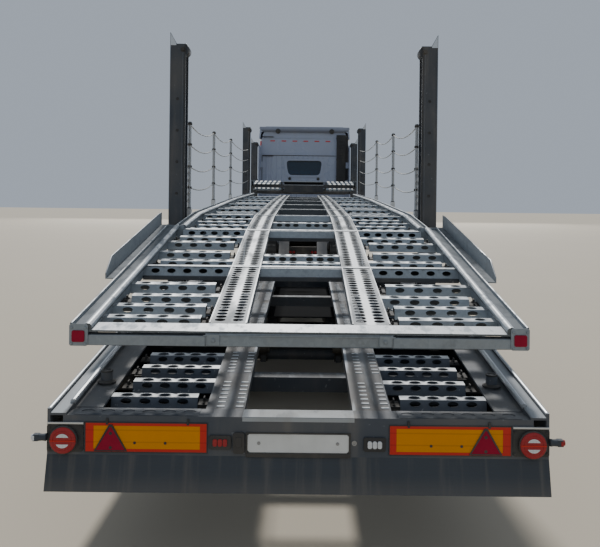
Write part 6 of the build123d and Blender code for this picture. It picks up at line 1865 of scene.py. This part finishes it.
class TRANSPORTER_OT_running_gear(Operator):
    """Springs, air bags, brakes, tank bands, catwalk, flaps and side lamps"""

    bl_idname = "transporter.running_gear"
    bl_label = "Running gear"

    def execute(self, context):
        self.suspension()
        self.tanks()
        self.tractor_rear()
        self.side_fittings()
        return {"FINISHED"}

    def suspension(self):
        """Trailing arms with their clamps, air bags and brake chambers of the trailer's axles."""
        arms, bags, brakes = shapes(3)
        for s in (3.4, 4.75):
            y = REAR + s
            arm = ((-0.3, 0.52), (-0.24, 0.47), (0.0, 0.335), (0.5, 0.35),
                   (0.5, 0.385), (0.02, 0.375), (-0.22, 0.52))
            arms.loft([[(x, y + a, z) for a, z in arm] for x in (0.345, 0.415)])
            eye = [(0.31, 0.0), (0.31, 0.05), (0.45, 0.05), (0.45, 0.0)]
            arms.lathe(eye, (0.0, y - 0.27, 0.52), RIGHT, 20)
            for a in (-0.05, 0.05):
                clamp = ((0.35, 0.33), (0.35, 0.475), (0.41, 0.475), (0.41, 0.33))
                arms.rod([(x, y + a, z) for x, z in clamp], 0.009, 8)
            foot = 0.385
            fold = (LOWER.height(s + 0.38) - 0.31 - foot) / 6
            profile = [(0.0, 0.0), (0.0, 0.09)]
            for k in range(3):
                base = 2 * k * fold
                profile += [(base + fold * 0.35, 0.112), (base + fold, 0.122), (base + fold * 1.65, 0.112),
                            (base + fold * 2, 0.096)]
            bags.lathe(profile + [(6 * fold, 0.0)], (0.38, y + 0.38, foot), UP, 28)
            brakes.lathe([
                (0.0, 0.0), (0.0, 0.06), (0.01, 0.082), (0.07, 0.082), (0.075, 0.088),
                (0.085, 0.088), (0.09, 0.08), (0.15, 0.075), (0.16, 0.05), (0.16, 0.0),
            ], (0.5, y - 0.06, 0.43), (0.0, -1.0, 0.12), 24)
            brakes.box((0.45, y - 0.09, 0.36), (0.55, y - 0.04, 0.46))
        arms.pair("trailing_arms", "forged_steel", "trailer", bevel=0.003)
        bags.pair("air_bags", "flap_rubber", "trailer", sharp=60.0)
        brakes.pair("brake_chambers", "forged_steel", "trailer")

    def tanks(self):
        """Bands, pressed ends and caps of the fuel tanks."""
        bands, caps, skins = shapes(3)
        z0, z1, radius = 0.34, 0.93, 0.11
        band = ((0.0, -0.03), (0.005, -0.03), (0.005, 0.03), (0.0, 0.03))
        for side, start, end in ((1, 12.35, 14.05), (-1, 12.35, 13.5)):
            x0, x1 = sorted((side * 0.5, side * 1.19))
            for s in (start + 0.25, (start + end) / 2, end - 0.25):
                bands.loft([rounded(x0 - g, x1 + g, z0 - g, z1 + g, radius + g, REAR + s + d)
                            for g, d in band], caps=False)
            for s, out in ((start, -1.0), (end, 1.0)):
                rings = [rounded(x0 + g, x1 - g, z0 + g, z1 - g, radius - g * 0.5, REAR + s + out * d)
                         for g, d in ((0.012, 0.0), (0.018, 0.006), (0.06, 0.008), (0.075, 0.002))]
                skins.loft(rings, caps=False)
                skins.face(*rings[-1])
            x, y = side * 0.98, REAR + end - 0.45
            caps.lathe([
                (0.0, 0.0), (0.0, 0.058), (0.012, 0.058), (0.016, 0.05),
                (0.04, 0.048), (0.046, 0.04), (0.046, 0.0),
            ], (x, y, z1), UP, 28)
            caps.box((x - 0.05, y - 0.008, z1 + 0.042), (x + 0.05, y + 0.008, z1 + 0.054))
        bands.piece("tank_bands", "forged_steel", "tractor")
        skins.piece("tank_ends", "tank_metal", "tractor")
        caps.piece("tank_caps", "black_plastic", "tractor", bevel=0.002)

    def tractor_rear(self):
        """Catwalk, tail lamps on their plates, and the flaps behind the drive wheels."""
        walk, lamps, flaps, plates = shapes(4)

        def place(u, v, w):
            return Vector((u, v, 0.9845 + w))

        walk.sheet(place, spread(-0.41, 0.41, 14), spread(REAR + 13.2, REAR + 14.12, 15), 0.004,
                   lambda i, j: (0.018, 0.009) if (i + j) % 2 else None, 0.0015)
        y = REAR + 10.8
        for x in (0.2, 0.27, 0.34):
            lamps.lathe([(0.0, 0.0), (0.0, 0.03), (0.014, 0.029), (0.02, 0.018), (0.021, 0.0)],
                        (x, y - 0.006, 0.82), BACK, 20)
        plates.box((0.15, y - 0.006, 0.77), (0.42, y, 0.87))
        section = ((0.048, 0.58), (0.056, 0.58), (0.046, 0.28), (0.038, 0.28))
        for side in (1.0, -1.0):
            flaps.loft([[(side * x, y + a, z) for a, z in section] for x in (0.61, 1.24)])
        for x in (0.63, 0.97, 1.22):
            plates.bolt((x, y + 0.046, 0.55), BACK, 0.01, 0.008)
        walk.piece("catwalk", "tank_metal", "tractor")
        lamps.pair("tractor_tail_lamps", "lamp_red", "tractor")
        plates.pair("tail_lamp_plates", "black_plastic", "tractor", bevel=0.001)
        flaps.piece("drive_wheel_flaps", "flap_rubber", "tractor", bevel=0.001)

    def side_fittings(self):
        """Side lamps, the flaps before the trailer's wheels, and the legs' feet and crank."""
        amber, flaps, feet = shapes(3)
        for s in (0.8, 2.1, 5.2, 7.0, 8.3, 9.6, 11.0, 12.3):
            p = LOWER.at(s, HALF_WIDTH, -0.045)
            corners = ((-0.045, -0.012), (0.045, -0.012), (0.045, 0.012), (-0.045, 0.012))
            amber.prism([p + Vector((0.0, a, b)) for a, b in corners], RIGHT * 0.009)
        section = ((2.835, 0.615), (2.841, 0.615), (2.831, 0.26), (2.825, 0.26))
        flaps.loft([[(x, REAR + s, z) for s, z in section] for x in (0.72, 1.245)])
        for x in (0.78, 0.98, 1.19):
            feet.bolt((x, REAR + 2.833, 0.595), BACK, 0.01, 0.008)
        y = REAR + 9.9
        for z in (0.42, 0.6, 0.78):
            feet.lathe([(0.0, 0.075), (0.0, 0.0), (0.006, 0.0), (0.006, 0.075)], (0.56, y, z), UP, 4)
        feet.rod([(0.62, y, 0.72), (0.76, y, 0.72), (0.76, y, 0.58), (0.84, y, 0.58)], 0.01, 8)
        amber.pair("side_lamps", "lamp_amber", "trailer", bevel=0.0025)
        flaps.pair("trailer_flaps", "flap_rubber", "trailer", bevel=0.001)
        feet.pair("leg_cranks", "forged_steel", "trailer")


class TRANSPORTER_OT_studio(Operator):
    """Floor, soft light and the camera"""

    bl_idname = "transporter.studio"
    bl_label = "Studio"

    # Reach of the floor; place, aim, size and colour of the lights; colour of the sky
    reach = 90.0
    sheen_place = Vector((0.0, 44.0, 9.0))
    sheen_aim = Vector((0.0, 0.0, 1.0))
    sheen_size = (44.0, 14.0)
    sheen_colour = (0.96, 0.98, 1.0)
    key_place = Vector((-1.05, 15.0, 18.5))
    key_colour = (1.0, 0.985, 0.96)
    sky_colour = (0.76, 0.86, 1.0, 1.0)

    def execute(self, context):
        studio = context.scene.transporter_studio
        self.floor(context)
        world = bpy.data.worlds.new("studio")
        world.use_nodes = True
        background = world.node_tree.nodes["Background"]
        background.inputs["Color"].default_value = self.sky_colour
        background.inputs["Strength"].default_value = studio.sky
        context.scene.world = world
        data = bpy.data.lights.new("sheen", "AREA")
        data.shape = "RECTANGLE"
        data.size, data.size_y = self.sheen_size
        data.energy = studio.glow
        data.color = self.sheen_colour
        self.stand(context, data, self.sheen_place, self.sheen_aim)
        data = bpy.data.lights.new("key", "SUN")
        data.energy = studio.sun
        data.angle = studio.softness
        data.color = self.key_colour
        self.stand(context, data, self.key_place, Vector())
        data = bpy.data.cameras.new("photo_view")
        data.lens = studio.lens
        data.sensor_width = 36.0
        data.shift_x = -0.0074
        data.shift_y = -0.1258
        camera = bpy.data.objects.new("photo_view", data)
        place = Matrix.Translation((studio.eye_x, studio.eye_y, studio.eye_z))
        camera.matrix_world = place @ Matrix.Rotation(pi / 2, 4, "X") @ Matrix.Rotation(studio.roll, 4, "Z")
        context.scene.collection.objects.link(camera)
        context.scene.camera = camera
        return {"FINISHED"}

    def floor(self, context):
        floor, steps = Shape(), spread(-self.reach, self.reach, 6)
        for x0, x1 in pairwise(steps):
            corners = ((x0, -self.reach), (x1, -self.reach), (x1, self.reach), (x0, self.reach))
            floor.face(*[(x, y, 0.0) for x, y in corners])
        mesh = bpy.data.meshes.new("studio_floor")
        mesh.from_pydata(floor.points, [], floor.faces)
        mesh.materials.append(studio_floor("studio floor"))
        plane = bpy.data.objects.new("studio_floor", mesh)
        context.scene.collection.objects.link(plane)
        plane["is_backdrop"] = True

    def stand(self, context, data, place, aim):
        """Light at a place, turned to its aim and unseen by the camera."""
        lamp = bpy.data.objects.new(data.name, data)
        lamp.location = place
        lamp.rotation_euler = (aim - place).to_track_quat("-Z", "Y").to_euler()
        lamp.visible_camera = False
        context.scene.collection.objects.link(lamp)


OPERATORS = (
    TRANSPORTER_OT_finishes,
    TRANSPORTER_OT_upper_deck,
    TRANSPORTER_OT_lower_deck,
    TRANSPORTER_OT_rear_end,
    TRANSPORTER_OT_beams,
    TRANSPORTER_OT_columns,
    TRANSPORTER_OT_wheels,
    TRANSPORTER_OT_front_deck,
    TRANSPORTER_OT_cab_back,
    TRANSPORTER_OT_cab_front,
    TRANSPORTER_OT_running_gear,
    TRANSPORTER_OT_studio,
)


class TRANSPORTER_PT_panel(Panel):
    """Settings and steps of the lorry's looks"""

    bl_label = "Car transporter"
    bl_idname = "TRANSPORTER_PT_panel"
    bl_space_type = "VIEW_3D"
    bl_region_type = "UI"
    bl_category = "Transporter"

    def draw(self, context):
        layout = self.layout
        for group in GROUPS:
            box = layout.box()
            box.label(text=group.replace("transporter_", "").title())
            settings = getattr(context.scene, group)
            for name in settings.__annotations__:
                box.prop(settings, name)
        for operator in OPERATORS:
            layout.operator(operator.bl_idname)


GROUPS = {
    "transporter_finishes": FinishSettings,
    "transporter_decks": DeckSettings,
    "transporter_wheels": WheelSettings,
    "transporter_studio": StudioSettings,
}


def register():
    for kind in (*GROUPS.values(), *OPERATORS, TRANSPORTER_PT_panel):
        bpy.utils.register_class(kind)
    for name, kind in GROUPS.items():
        setattr(bpy.types.Scene, name, PointerProperty(type=kind))


def unregister():
    for name in GROUPS:
        delattr(bpy.types.Scene, name)
    for kind in reversed((*GROUPS.values(), *OPERATORS, TRANSPORTER_PT_panel)):
        bpy.utils.unregister_class(kind)


def main():
    register()
    for operator in OPERATORS:
        group, name = operator.bl_idname.split(".")
        getattr(getattr(bpy.ops, group), name)()
    low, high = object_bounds()
    sizes = {"cad": [list(CAD_LOW), list(CAD_HIGH)], "visual": [list(low), list(high)]}


if __name__ == "__main__":
    main()
